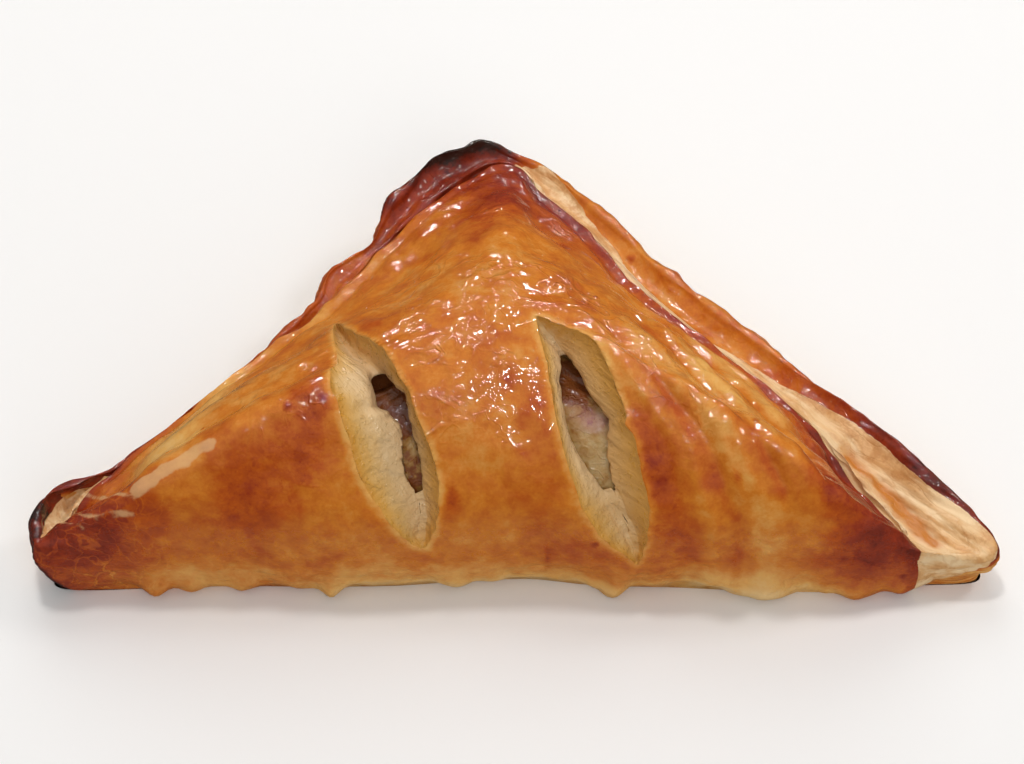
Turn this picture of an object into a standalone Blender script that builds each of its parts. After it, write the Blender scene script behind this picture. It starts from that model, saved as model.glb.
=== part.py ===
"""Apple turnover: a square of puff pastry folded corner to corner over apple filling.

The front is the fold (-Y). The two cut legs meet at the apex (+Y). The lower sheet sticks out past
the upper one along both legs and curls up at its edge. Two slits through the dome show the filling.
Metres, +Z up, the origin under the middle of the footprint.
"""

import math

import bmesh
import bpy
import numpy as np
from mathutils import Vector, noise
from mathutils.bvhtree import BVHTree

# ---------------------------------------------------------------- driving dimensions
CENTRE = (-0.0003, -0.0090)  # the plan point that every profile is drawn from
FOLD_REACH = 0.0300  # from the centre forward to the fold
DOME_HEIGHT = 0.0368
FOLD_BULGE_HEIGHT = 0.0072  # where the rounded fold is widest
CRUST = 0.0062  # thickness of the baked dough over the filling
LIP_WIDTH = 0.0026  # from the crest of the upper sheet's lip out to its edge
GROOVE_DEPTH = 0.0012  # of the dent just inside that lip
FOOT_TUCK = 0.0050  # how far the flat base lies inside the outline
GAP = 0.0005  # between filling and crust

# Straight edges of each sheet: the way the edge faces, in degrees, and its distance from the centre.
UPPER_EDGES = ((-90, FOLD_REACH), (43.0, 0.0300), (135.5, 0.0326), (17, 0.0520))
LOWER_EDGES = ((-90, FOLD_REACH), (45.0, 0.0362), (135.0, 0.0378), (0, 0.0764), (180, 0.0760))
UPPER_SHARPNESS = 15.0
LOWER_SHARPNESS = 17.0
DOME_SHARPNESS = 4.5  # the rounder shape that the rings have near the top

# Round the cut legs, in millimetres: the way the place faces in degrees, the heights of lip, valley
# and rim, then how far the upper and lower sheets stand outside their straight edges.
LEG_TABLE = (
    (-90, 9.0, 6.0, 8.0, -0.5, -0.5),
    (-50, 9.0, 6.0, 8.0, 0.3, 0.3),
    (-31, 9.0, 5.5, 8.0, 1.4, 1.4),
    (-25, 9.0, 6.0, 8.0, 1.2, 0.8),
    (-17, 10.0, 8.6, 9.6, -1.4, 0.6),
    (-12, 11.8, 9.6, 11.5, -0.2, -0.2),
    (-7, 13.2, 10.5, 12.8, 0.5, 1.2),
    (4, 15.2, 11.5, 13.6, -0.4, -0.9),
    (22, 17.0, 13.0, 14.8, -1.6, -1.5),
    (43, 17.8, 13.8, 15.2, -2.3, -1.6),
    (65, 18.0, 14.0, 15.4, -0.8, 0.0),
    (80, 18.0, 14.0, 15.8, -0.6, 0.4),
    (90, 18.0, 15.0, 16.0, 1.2, -2.2),
    (98, 18.0, 16.8, 18.6, 1.8, 0.2),
    (107, 18.0, 17.6, 20.3, 2.2, 3.6),
    (117, 18.0, 16.6, 18.6, 2.0, 2.2),
    (130, 18.0, 14.8, 15.6, 1.4, -1.0),
    (141, 17.9, 14.5, 15.4, 0.2, 0.2),
    (152, 17.7, 13.5, 14.2, -1.2, -2.8),
    (160, 17.3, 12.0, 12.8, -1.4, -2.6),
    (168, 17.0, 11.0, 11.5, 0.4, -2.6),
    (177, 16.4, 10.0, 10.8, 0.8, -3.4),
    (185, 15.2, 8.8, 9.4, 1.2, -3.4),
    (191, 13.8, 8.0, 9.5, 2.2, -3.0),
    (195, 12.2, 8.0, 12.5, 3.6, 1.4),
    (200, 10.0, 7.5, 11.0, 0.4, 0.2),
    (210, 9.0, 6.0, 8.0, -0.8, -0.8),
    (225, 9.0, 6.0, 8.0, 0.4, 0.4),
    (270, 9.0, 6.0, 8.0, -0.5, -0.5),
)
RIGHT_CORNER = (-29.5, -20.5)  # degrees over which the fold opens into the cut edge
LEFT_CORNER = (207, 196)

# Where the two slits run: the ends of each, set out on a plane that leans with the front of the dome,
# as (across, up the plane). Then half the width at the skin, half the width of the hole at the bottom,
# how far that hole sits to the right of the middle, and how far the whole slit bows to the right.
SLIT_PLANE_TILT = math.radians(55)
SLITS = {
    "left": ((-0.0278, 0.0428), (-0.0134, 0.0091), 0.0058, 0.0017, 0.0027, 0.0012),
    "right": ((0.0036, 0.0438), (0.0186, 0.0062), 0.0053, 0.0023, -0.0008, 0.0014),
}
SLIT_DEPTH = 0.0125
SLIT_STATIONS = 23

CRUST_SIDES = 120
FILLING_SIDES = 60


# ---------------------------------------------------------------- plan and profiles
def smooth(value, low, high):
    """0 at low and 1 at high, with an S-shaped rise between."""
    t = np.clip((value - low) / (high - low), 0, 1)
    return t * t * (3 - 2 * t)


def facing_degrees(angle):
    return (np.degrees(angle) + 90) % 360 - 90


def plan_radius(angle, edges, sharpness):
    """Distance from the centre to a polygon with rounded corners."""
    total = 0
    for facing, distance in edges:
        reach = np.maximum(np.cos(angle - math.radians(facing)), 0) / distance
        total = total + reach**sharpness
    return total ** (-1 / sharpness)


def spread_angles(count):
    """Angles round the outline, spaced by its length and closer together at the corners."""
    corner_weight = 0.016
    fine = np.radians(np.linspace(-90, 270, 4001))
    radius = plan_radius(fine, LOWER_EDGES, LOWER_SHARPNESS)
    x, y = radius * np.cos(fine), radius * np.sin(fine)
    step = np.hypot(np.diff(x), np.diff(y))
    heading = np.unwrap(np.arctan2(np.diff(y), np.diff(x)))
    turn = np.abs(np.append(np.diff(heading), 0))
    travelled = np.append(0, np.cumsum(step + corner_weight * turn))
    return np.interp(np.arange(count) / count * travelled[-1], travelled, fine)


def leg_value(angle, column):
    """One column of LEG_TABLE in metres, eased between its rows."""
    rows = np.array(LEG_TABLE)
    degrees = facing_degrees(angle)
    row = np.clip(np.searchsorted(rows[:, 0], degrees) - 1, 0, len(rows) - 2)
    share = smooth(degrees, rows[row, 0], rows[row + 1, 0])
    return 0.001 * (rows[row, column] * (1 - share) + rows[row + 1, column] * share)


def leg_share(angle):
    """0 along the fold, 1 along the two cut legs."""
    degrees = facing_degrees(angle)
    return smooth(degrees, *RIGHT_CORNER) * smooth(-degrees, -LEFT_CORNER[0], -LEFT_CORNER[1])


def wobble(angle, seed, size):
    """A slow uneven wave round the outline."""
    waves = ((3, 0.5), (7, 0.3), (13, 0.2))
    return size * sum(part * np.sin(turns * angle + seed * turns) for turns, part in waves)


def outlines(angle):
    """Radii of the upper sheet and of the lower sheet."""
    upper = plan_radius(angle, UPPER_EDGES, UPPER_SHARPNESS) + wobble(angle, 1.3, 0.0004)
    lower = plan_radius(angle, LOWER_EDGES, LOWER_SHARPNESS) + wobble(angle, 0.4, 0.0004)
    upper = upper + leg_value(angle, 4)
    lower = lower + leg_value(angle, 5)
    return upper, np.maximum(lower, upper + 0.0014)


DOME_SHARES = (0, 0.10, 0.20, 0.30, 0.40, 0.49, 0.58, 0.66, 0.74, 0.81, 0.87, 0.92, 0.965, 1)


def dome_radius(angle, share):
    """Radius of a ring this share of the way out: rounder near the top, the sheet's own outline at 1."""
    upper, _ = outlines(angle)
    soft = plan_radius(angle, UPPER_EDGES, DOME_SHARPNESS)
    return share * (soft + (upper - soft) * share**1.5)


def leg_profile(angle):
    """(radius, height) rings over a cut leg, from the top of the dome round to the middle of the base."""
    upper, lower = outlines(angle)
    lip, valley, rim = (leg_value(angle, column) for column in (1, 2, 3))
    crest = upper - LIP_WIDTH
    degrees = facing_degrees(angle)
    fullness = 2.1 - 0.5 * smooth(degrees, -15, 35) * smooth(-degrees, -195, -145)
    rings = []
    for share in DOME_SHARES:
        radius = dome_radius(angle, share) * crest / upper
        fall = 1 - share**fullness
        dent = np.exp(-(((crest - radius - 0.0065) / 0.0030) ** 2)) * smooth(share, 0.3, 0.6)
        rings.append((radius, lip + (DOME_HEIGHT - lip) * fall - GROOVE_DEPTH * dent))
    drop = lip - valley
    ledge = lower - upper  # how far the lower sheet shows past the upper one
    rings.append((upper - 0.0008, lip - 0.0005))
    rings.append((upper, lip - 0.0019))
    rings.append((upper + 0.02 * ledge, lip - 0.45 * drop))
    rings.append((upper + 0.16 * ledge, lip - 0.80 * drop))
    rings.append((upper + 0.40 * ledge, valley))
    rings.append((upper + 0.66 * ledge, valley + 0.45 * (rim - valley)))
    rings.append((lower - np.minimum(0.0018, 0.22 * ledge), rim))
    rings.append((lower - 0.0004, rim - 0.0008))
    rings.append((lower, rim - 0.0028))
    rings.append((lower - 0.0009, 0.42 * rim))
    rings.append((lower - 0.0026, 0.16 * rim))
    rings.append((lower - FOOT_TUCK, np.zeros_like(angle)))
    rings.append(((lower - FOOT_TUCK) * 0.55, np.zeros_like(angle)))
    return rings


FOLD_TURNS = [52 * share for share in DOME_SHARES] + [56, 60, 64, 68, 72, 76, 80, 84.5, 90]


def fold_profile(angle):
    """The same number of rings over the rounded fold."""
    upper, _ = outlines(angle)
    flat = np.zeros_like(angle)
    rings = []
    for degrees in FOLD_TURNS:
        turn = math.radians(degrees)
        across = math.sin(turn) ** 0.92
        height = max(math.cos(turn), 0) ** 0.90
        z = FOLD_BULGE_HEIGHT + (DOME_HEIGHT - FOLD_BULGE_HEIGHT) * height
        rings.append((dome_radius(angle, across), z + flat))
    rings.append((upper - 0.0006, 0.0034 + flat))
    rings.append((upper - 0.0020, 0.0011 + flat))
    rings.append((upper - FOOT_TUCK * 0.9, flat))
    rings.append(((upper - FOOT_TUCK) * 0.55, flat))
    return rings


def loft(rings, angle, top_height, base_height):
    """Points and faces of a closed body from rings round the centre, with a pole above and below."""
    count = len(angle)
    points = [(CENTRE[0], CENTRE[1], top_height)]
    for radius, height in rings:
        for a, r, z in zip(angle, radius, height):
            points.append((CENTRE[0] + r * math.cos(a), CENTRE[1] + r * math.sin(a), z))
    points.append((CENTRE[0], CENTRE[1], base_height))
    last = len(points) - 1
    faces = []
    for side in range(count):
        after = (side + 1) % count
        faces.append((0, 1 + side, 1 + after))
        for ring in range(len(rings) - 1):
            a, b = 1 + ring * count, 1 + (ring + 1) * count
            faces.append((a + side, b + side, b + after, a + after))
        a = 1 + (len(rings) - 1) * count
        faces.append((a + side, last, a + after))
    return points, faces


def new_object(name, points, faces, material, collection):
    mesh = bpy.data.meshes.new(name)
    mesh.from_pydata([tuple(map(float, p)) for p in points], [], faces)
    mesh.update()
    mesh.materials.append(material)
    mesh.shade_smooth()
    thing = bpy.data.objects.new(name, mesh)
    collection.objects.link(thing)
    return thing


# ---------------------------------------------------------------- relief in the dough
def dough_relief(point):
    """How far the baked dough stands out at this point: broad puffs, and pleats beside the right leg."""
    puffs = 0.0011 * noise.noise(point / 0.017)
    knobs = 0.0005 * noise.noise(point / 0.0075 + Vector((5, 2, 9)))
    along = (point.x - point.y) * 0.7071
    out = (point.x + point.y) * 0.7071
    beside_leg = math.exp(-(((out - 0.012) / 0.010) ** 2) - ((along - 0.03) / 0.026) ** 2)
    pleats = 0.0006 * math.sin(out / 0.0011) * beside_leg
    return puffs + knobs + pleats


def push_out(thing, relief, fade_height):
    """Moves each point along its normal by relief, fading out towards the flat base."""
    mesh = thing.data
    normals = [n.vector.copy() for n in mesh.vertex_normals]
    for vertex, normal in zip(mesh.vertices, normals):
        share = float(smooth(vertex.co.z, 0.0005, fade_height))
        vertex.co += normal * relief(vertex.co) * share
        vertex.co.z = max(vertex.co.z, 0)
    mesh.update()


def baked_body(material, collection):
    """The outside of the turnover, before it is hollowed and slit."""
    angle = spread_angles(CRUST_SIDES)
    share = leg_share(angle)
    rings = []
    for (leg_r, leg_z), (fold_r, fold_z) in zip(leg_profile(angle), fold_profile(angle)):
        rings.append((fold_r + (leg_r - fold_r) * share, fold_z + (leg_z - fold_z) * share))
    points, faces = loft(rings[1:], angle, DOME_HEIGHT, 0)
    body = new_object("pastry", points, faces, material, collection)
    push_out(body, dough_relief, 0.006)
    return body


# ---------------------------------------------------------------- hollow and filling
def inner_rings(angle, inset, sink):
    """Rings of a pillow inside the crust. inset shrinks it evenly and sink lowers its top."""
    upper, _ = outlines(angle)
    share = leg_share(angle)
    reach = upper - CRUST * 1.15 - 0.0040 * share - inset
    middle = 0.0105
    roof = DOME_HEIGHT - CRUST - inset - sink
    floor = CRUST * 0.85 + inset
    rings = []
    for degrees in (12, 24, 36, 48, 58, 67, 75, 83, 90):
        across = math.sin(math.radians(degrees))
        fold_height = max(math.cos(math.radians(degrees)), 0) ** 0.9
        leg_height = (1 - across**2) ** 0.95
        height = fold_height + (leg_height - fold_height) * share
        rings.append((reach * across, middle + (roof - middle) * height))
    for degrees in (105, 125, 145):
        turn = math.radians(degrees)
        z = middle + (middle - floor) * math.cos(turn)
        rings.append((reach * math.sin(turn) ** 0.6, z + np.zeros_like(angle)))
    return rings, roof, floor


def hollow(material, collection):
    angle = spread_angles(FILLING_SIDES)
    rings, roof, floor = inner_rings(angle, 0, 0)
    points, faces = loft(rings, angle, roof, floor)
    return new_object("hollow", points, faces, material, collection)


def fruit_relief(point):
    """Lumps of apple in the filling, always inwards, with a sunken place under the back of each slit."""
    lump = min(noise.voronoi(point / 0.0085)[0][0], 1.0)
    sunken = 0
    for slit in SLITS.values():
        spot = slit_plane_point(slit[0])
        away = math.hypot(point.x - spot.x, (point.y - spot.y) * 0.8)
        sunken += 0.0060 * math.exp(-((away / 0.013) ** 2))
    return -(0.0022 * lump + sunken) * float(smooth(point.z, 0.010, 0.018))


def filling(material, collection):
    angle = spread_angles(FILLING_SIDES)
    rings, roof, floor = inner_rings(angle, GAP, 0.0006)
    points, faces = loft(rings, angle, roof, floor)
    body = new_object("apple_filling", points, faces, material, collection)
    for vertex in body.data.vertices:
        vertex.co.z += fruit_relief(vertex.co)
    return body


# ---------------------------------------------------------------- slits
def slit_plane_point(place):
    """A point (across, up) of the leaning plane, in the frame of the part."""
    across, up = place
    front = CENTRE[1] - FOLD_REACH
    return Vector((across, front + up * math.sin(SLIT_PLANE_TILT), up * math.cos(SLIT_PLANE_TILT)))


def slit_stations(skin, start, end):
    """Smooth frames along a slit: a place on the skin, the way out of it and the way across the slit."""
    back = Vector((0, -math.cos(SLIT_PLANE_TILT), math.sin(SLIT_PLANE_TILT)))
    first, last = slit_plane_point(start), slit_plane_point(end)
    shares = np.linspace(0, 1, SLIT_STATIONS)
    places, normals = [], []
    for share in shares:
        hit, normal, _, _ = skin.ray_cast(first.lerp(last, share) + back * 0.2, -back)
        places.append(hit)
        normals.append(normal)
    place_curve = np.polyfit(shares, np.array(places), 4)
    normal_curve = np.polyfit(shares, np.array(normals), 2)
    powers = shares[:, None] ** np.arange(4, -1, -1)
    places = [Vector(p) for p in powers @ place_curve]
    normals = [Vector(n).normalized() for n in powers[:, 2:] @ normal_curve]
    stations = []
    for i, (place, normal) in enumerate(zip(places, normals)):
        along = places[min(i + 1, SLIT_STATIONS - 1)] - places[max(i - 1, 0)]
        stations.append((place, normal, normal.cross(along).normalized()))
    return stations


def slit_section(t, half_width, half_hole, shift, bow):
    """The wedge's outline, as rows of (left, right, up), t running from -1 to 1 along the slit."""
    belly = max(1 - abs(t) ** 2.4, 0.0) ** 0.60
    core = max(1 - (t / 0.74) ** 2, 0.0) ** 0.5
    width = 0.0003 + half_width * belly
    hole = min(0.0002 + half_hole * core, 0.8 * width)
    middle, side = bow * belly, shift * belly
    depth = 0.0012 + 0.0036 * belly + (SLIT_DEPTH - 0.0048) * float(smooth(core, 0.0, 0.55))
    rows = []
    for share, up in ((1.16, 0.0050), (1.04, 0.0006), (0.84, -0.0012), (0.46, -0.0034), (0.0, -0.0058)):
        flare = hole + (width - hole) * share
        lean = middle + side * (1 - max(min(share, 1), 0))
        rows.append((lean - flare, lean + flare, max(up, -depth)))
    lean = middle + side
    rows.append((lean - 0.8 * hole, lean + 0.8 * hole, -depth - 0.0001))
    return rows


def slit_cutter(name, skin, slit, material, collection):
    """A flared wedge: wide at the skin, narrow at the hollow, shallow at both ends."""
    start, end, *sizes = slit
    points, faces = [], []
    for i, (place, normal, across) in enumerate(slit_stations(skin, start, end)):
        rows = slit_section(2 * i / (SLIT_STATIONS - 1) - 1, *sizes)
        section = [(right, up) for _, right, up in rows] + [(left, up) for left, _, up in reversed(rows)]
        for sideways, up in section:
            points.append(place + across * sideways + normal * up)
        size = len(section)
    for i in range(SLIT_STATIONS - 1):
        for k in range(size):
            after = (k + 1) % size
            a, b = i * size, (i + 1) * size
            faces.append((a + k, a + after, b + after, b + k))
    faces.append(tuple(range(size - 1, -1, -1)))
    faces.append(tuple((SLIT_STATIONS - 1) * size + k for k in range(size)))
    return new_object(name, points, faces, material, collection)


def facing_out(thing):
    """Turns the faces of a closed mesh outwards."""
    shape = bmesh.new()
    shape.from_mesh(thing.data)
    bmesh.ops.recalc_face_normals(shape, faces=shape.faces)
    shape.to_mesh(thing.data)
    shape.free()


def cut(thing, cutter):
    facing_out(cutter)
    cutter.hide_render = True
    cutter.display_type = "WIRE"
    modifier = thing.modifiers.new(cutter.name, "BOOLEAN")
    modifier.operation = "DIFFERENCE"
    modifier.solver = "EXACT"
    modifier.object = cutter


def new_material(name, colour, roughness):
    material = bpy.data.materials.new(name)
    material.use_nodes = True
    shader = material.node_tree.nodes["Principled BSDF"]
    shader.inputs["Base Color"].default_value = (*colour, 1)
    shader.inputs["Roughness"].default_value = roughness
    return material


def main():
    for thing in list(bpy.data.objects):
        bpy.data.objects.remove(thing)
    parts = bpy.data.collections.new("apple_turnover")
    cutters = bpy.data.collections.new("cutters")
    for collection in (parts, cutters):
        bpy.context.scene.collection.children.link(collection)
    crust = new_material("baked_crust", (0.62, 0.27, 0.07), 0.35)
    fruit = new_material("apple_filling", (0.50, 0.36, 0.16), 0.15)

    pastry = baked_body(crust, parts)
    skin = BVHTree.FromObject(pastry, bpy.context.evaluated_depsgraph_get())
    cut(pastry, hollow(crust, cutters))
    for name, slit in SLITS.items():
        cut(pastry, slit_cutter(f"{name}_slit", skin, slit, crust, cutters))
    filling(fruit, parts)


main()
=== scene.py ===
# %% [markdown]
# # An apple turnover
# A square of puff pastry is folded corner to corner over apple filling, so it has a rounded fold in
# front and two cut legs that meet at an apex behind. It is slit twice, glazed and baked. This lesson
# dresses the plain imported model: first the stage, then the crust as one dense mesh with its relief and
# its slits, then the finish of the crust, then the filling.

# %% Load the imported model
import math
from types import SimpleNamespace

import bmesh
import bpy
import numpy as np
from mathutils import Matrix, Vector, noise
from mathutils.bvhtree import BVHTree
from mathutils.kdtree import KDTree


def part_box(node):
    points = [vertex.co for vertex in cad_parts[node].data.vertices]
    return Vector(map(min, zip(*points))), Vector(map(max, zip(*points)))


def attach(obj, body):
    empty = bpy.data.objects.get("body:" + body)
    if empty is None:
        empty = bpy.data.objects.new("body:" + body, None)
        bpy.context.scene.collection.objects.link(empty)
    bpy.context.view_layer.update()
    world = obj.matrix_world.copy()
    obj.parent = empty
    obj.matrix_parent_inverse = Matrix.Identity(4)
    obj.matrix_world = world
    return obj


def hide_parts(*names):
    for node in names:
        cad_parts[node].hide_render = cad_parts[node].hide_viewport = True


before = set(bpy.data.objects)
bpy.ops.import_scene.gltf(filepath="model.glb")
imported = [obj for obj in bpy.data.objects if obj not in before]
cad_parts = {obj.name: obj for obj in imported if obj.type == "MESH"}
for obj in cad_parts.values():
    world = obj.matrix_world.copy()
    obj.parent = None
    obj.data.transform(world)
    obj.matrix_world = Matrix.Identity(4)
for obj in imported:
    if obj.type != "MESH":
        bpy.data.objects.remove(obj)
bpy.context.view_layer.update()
MM = 0.001

# %% [markdown]
# ## Stage, light and camera
# Food looks wet or dry mostly through its light. Here the two jobs are split. A key, a window and two
# big weak fills light the crust, but don't show in the glaze. A ring of tiny lamps lights nothing and
# only shows in the glaze, as short sparkles. One huge softbox would be simpler, but it lays a milky
# sheen over the whole crust. The Standard view is used because a filmic one greys the golds. The floor
# and the room are already made with shader nodes, so two small helpers come first that add and wire
# them.


# %% First helpers
def put(name, data):
    """A new object in the scene."""
    thing = bpy.data.objects.new(name, data)
    bpy.context.scene.collection.objects.link(thing)
    return thing


def aim(thing, place, target):
    """Puts a camera or lamp at place, looking at target."""
    thing.location = place
    thing.rotation_euler = (Vector(target) - Vector(place)).to_track_quat("-Z", "Y").to_euler()


def wire(tree, node, inputs):
    """Gives each of a node's inputs a number, a colour or another node's output."""
    for key, value in dict(inputs).items():
        if isinstance(value, bpy.types.Node):
            value = value.outputs[0]
        if isinstance(value, bpy.types.NodeSocket):
            tree.links.new(value, node.inputs[key])
        else:
            node.inputs[key].default_value = value
    return node


def add(tree, kind, inputs=(), **settings):
    """Adds a shader node with these settings, and wires its inputs."""
    made = tree.nodes.new("ShaderNode" + kind)
    for name, value in settings.items():
        setattr(made, name, value)
    return wire(tree, made, inputs)


def with_nodes(thing):
    """Node tree of a new material or world."""
    thing.use_nodes = True
    return thing.node_tree


print("first helpers ready")


# %% Floor and camera
def make_floor():
    bpy.ops.mesh.primitive_plane_add(size=4, location=(0, 0, 0))
    floor = bpy.context.object
    floor.name = "floor"
    paint = bpy.data.materials.new("pale_floor")
    tree = with_nodes(paint)
    wire(tree, tree.nodes["Principled BSDF"], {"Base Color": (0.90, 0.90, 0.90, 1), "Roughness": 0.8})
    floor.data.materials.append(paint)
    floor.visible_glossy = False


def make_camera():
    elevation, distance = math.radians(55), 0.4511
    target = Vector((-0.0004, -0.0042, 0.0097))
    camera = put("camera", bpy.data.cameras.new("camera"))
    camera.data.lens = 100
    camera.data.clip_start = 0.01
    aim(camera, target + distance * Vector((0, -math.cos(elevation), math.sin(elevation))), target)
    bpy.context.scene.camera = camera


make_floor()
make_camera()
print("camera at", tuple(round(v, 2) for v in bpy.context.scene.camera.location))


# %% Lamps
def add_lamp(name, place, size, watts, colour=(1, 1, 1), glint=False):
    """A round lamp that only lights the pastry, or only shows as a glint in its glaze."""
    light = bpy.data.lights.new(name, "AREA")
    light.shape = "DISK"
    light.size = size
    light.energy = watts
    light.color = colour
    lamp = put(name, light)
    lamp.visible_diffuse = not glint
    lamp.visible_glossy = glint
    aim(lamp, place, (0, 0, 0.01))


# Small far lamps, as (degrees to the right of straight back, degrees above the floor). Each gives the
# glaze its own short glints and lights nothing else.
GLINT_LAMPS = (
    (-24, 16), (-12, 28), (2, 18), (14, 30), (24, 12), (34, 24), (-27, 52), (8, 46), (45, 50),
    (6, 66), (26, 62), (-27, 76), (170, 68), (130, 76), (-150, 58), (160, 52), (90, 45),
)
GLINT_DISTANCE = 0.7
add_lamp("key", (-0.08, 0.16, 0.75), 0.10, 1.45, (1.0, 0.97, 0.93))
add_lamp("front_fill", (0.25, -0.75, 0.55), 0.7, 1.9)
add_lamp("back_fill", (-0.10, 0.62, 0.60), 0.6, 1.9)
add_lamp("right_window", (0.52, 0.22, 0.58), 0.14, 1.0, (1.0, 0.96, 0.95))
for number, (turn, height) in enumerate(np.radians(GLINT_LAMPS)):
    level = math.cos(height)
    way = Vector((math.sin(turn) * level, math.cos(turn) * level, math.sin(height)))
    add_lamp(f"glint_lamp_{number}", GLINT_DISTANCE * way, 0.024, 0.34, (1.0, 0.98, 0.95), glint=True)
print("lamps", len(bpy.data.lights))


# %% Room
def make_room():
    """A pale room, brighter overhead than near the floor, so that the far slopes reflect little."""
    world = bpy.context.scene.world = bpy.data.worlds.new("room")
    tree = with_nodes(world)
    rise = add(tree, "SeparateXYZ", {0: add(tree, "TexCoord").outputs["Generated"]}).outputs["Z"]
    strength = add(tree, "MapRange", {"Value": rise, "To Min": 0.06, "To Max": 0.62})
    wire(tree, tree.nodes["Background"], {"Strength": strength, "Color": (1.0, 0.985, 0.96, 1)})


make_room()
bpy.context.scene.view_settings.view_transform = "Standard"
print("stage ready")

# %% [markdown]
# ## Plan of the turnover
# The outline of each sheet is a polygon with rounded corners, measured as a distance from one centre.
# Adding up a high power of each edge's nearness gives the rounding for free, where a polygon with
# fillets would need arcs worked out by hand. The table then pushes the outline in and out and sets the
# heights, because a baked edge is never straight.

# %% Sizes
CENTRE = (-0.3 * MM, -9.0 * MM)
FOLD_REACH = 30.0 * MM
DOME_HEIGHT = 36.8 * MM
FOLD_BULGE_HEIGHT = 7.2 * MM
CRUST = 6.2 * MM
HOLLOW_WAIST = 10.5 * MM
LIP_WIDTH = 2.6 * MM
GROOVE_DEPTH = 0.8 * MM
FOOT_TUCK = 5.0 * MM
WOBBLE = 0.4 * MM
NARROWEST_LEDGE = 1.4 * MM

# The edges of the two sheets: facing in degrees and distance from the centre.
UPPER_EDGES = ((-90, FOLD_REACH), (43.0, 0.0300), (135.5, 0.0326), (17, 0.0520))
LOWER_EDGES = ((-90, FOLD_REACH), (45.0, 0.0362), (135.0, 0.0378), (0, 0.0764), (180, 0.0760))
UPPER_SHARPNESS = 15.0
LOWER_SHARPNESS = 17.0
DOME_SHARPNESS = 4.5
print("crust", round(CRUST / MM, 1), "mm thick, dome", round(DOME_HEIGHT / MM, 1), "mm high")

# %% Table of the edges
# Facing in degrees; then in millimetres the heights of lip, valley and rim, and how far the upper and
# the lower sheet stand out.
LEG_TABLE = np.array((
    (-90, 9.0, 6.0, 8.0, -0.5, -0.5),
    (-50, 9.0, 6.0, 8.0, 0.3, 0.3),
    (-31, 9.0, 5.5, 8.0, 1.4, 1.4),
    (-25, 9.0, 6.0, 8.0, 1.2, 0.8),
    (-17, 10.0, 8.6, 9.6, -1.4, 0.6),
    (-12, 11.8, 9.6, 11.5, -0.2, -0.2),
    (-7, 13.2, 10.5, 12.8, 0.5, 1.2),
    (4, 15.2, 11.5, 13.6, -0.4, -0.9),
    (22, 17.0, 13.0, 14.8, -1.6, -1.5),
    (43, 17.8, 13.8, 15.2, -2.3, -1.6),
    (65, 18.0, 14.0, 15.4, -0.8, 0.0),
    (80, 18.0, 14.0, 15.8, -0.6, 0.4),
    (90, 18.0, 15.0, 16.0, 1.2, -2.2),
    (98, 18.0, 16.8, 19.3, 1.8, 1.0),
    (107, 18.0, 17.6, 20.3, 2.2, 3.6),
    (117, 18.0, 16.6, 18.6, 2.0, 2.2),
    (130, 18.0, 14.8, 15.6, 1.4, -1.0),
    (141, 17.9, 14.5, 15.4, 0.2, 0.2),
    (152, 17.7, 13.5, 14.2, -1.2, -2.8),
    (160, 17.3, 12.0, 12.8, -1.4, -2.6),
    (168, 17.0, 11.0, 11.5, 0.4, -2.6),
    (177, 16.4, 10.0, 10.8, 0.8, -3.4),
    (185, 15.2, 8.8, 9.4, 1.2, -3.4),
    (191, 13.8, 8.0, 9.5, 2.2, -3.0),
    (195, 12.2, 8.0, 12.5, 3.6, 1.4),
    (200, 10.0, 7.5, 11.0, 0.4, 0.2),
    (210, 9.0, 6.0, 8.0, -0.8, -0.8),
    (225, 9.0, 6.0, 8.0, 0.4, 0.4),
    (270, 9.0, 6.0, 8.0, -0.5, -0.5),
))
# Facings between which the fold turns into a cut leg at the right corner, and back at the left one.
CORNERS = (-29.5, -20.5, 196, 207)
print("edge table has", len(LEG_TABLE), "rows")

# %% Table of the baking
# Facing in degrees; how baked the lip is, how baked the strip outside it is, and the control ring up to
# which the dough between them is pale.
BAKE_TABLE = np.array((
    (-90, 0.45, 0.45, 14.0),
    (-36, 0.62, 0.50, 14.0),
    (-27, 0.76, 0.60, 14.0),
    (-25, 0.77, 0.62, 24.0),
    (-20, 0.78, 0.70, 20.8),
    (-17, 0.77, 0.74, 19.9),
    (-14, 0.76, 0.75, 19.4),
    (-11, 0.74, 0.76, 19.3),
    (-7, 0.73, 0.76, 19.0),
    (-2, 0.70, 0.66, 18.7),
    (4, 0.67, 0.50, 18.1),
    (10, 0.62, 0.40, 17.6),
    (18, 0.62, 0.38, 16.8),
    (36, 0.65, 0.37, 16.8),
    (50, 0.68, 0.38, 17.4),
    (63, 0.70, 0.42, 18.0),
    (70, 0.71, 0.42, 18.6),
    (78, 0.71, 0.34, 19.6),
    (82, 0.70, 0.34, 21.0),
    (87, 0.68, 0.44, 19.0),
    (91, 0.62, 0.74, 14.4),
    (97, 0.56, 0.77, 14.4),
    (102, 0.54, 0.78, 14.4),
    (110, 0.52, 0.78, 14.4),
    (118, 0.48, 0.74, 14.4),
    (126, 0.42, 0.62, 14.4),
    (136, 0.36, 0.50, 14.4),
    (160, 0.34, 0.46, 14.4),
    (180, 0.40, 0.52, 14.4),
    (188, 0.50, 0.60, 14.4),
    (191, 0.58, 0.66, 16.8),
    (194, 0.62, 0.74, 18.8),
    (197, 0.64, 0.92, 18.8),
    (201, 0.64, 0.94, 19.2),
    (206, 0.64, 0.74, 18.0),
    (214, 0.60, 0.60, 14.4),
    (270, 0.45, 0.45, 14.0),
))
print("baking table has", len(BAKE_TABLE), "rows")


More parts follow.
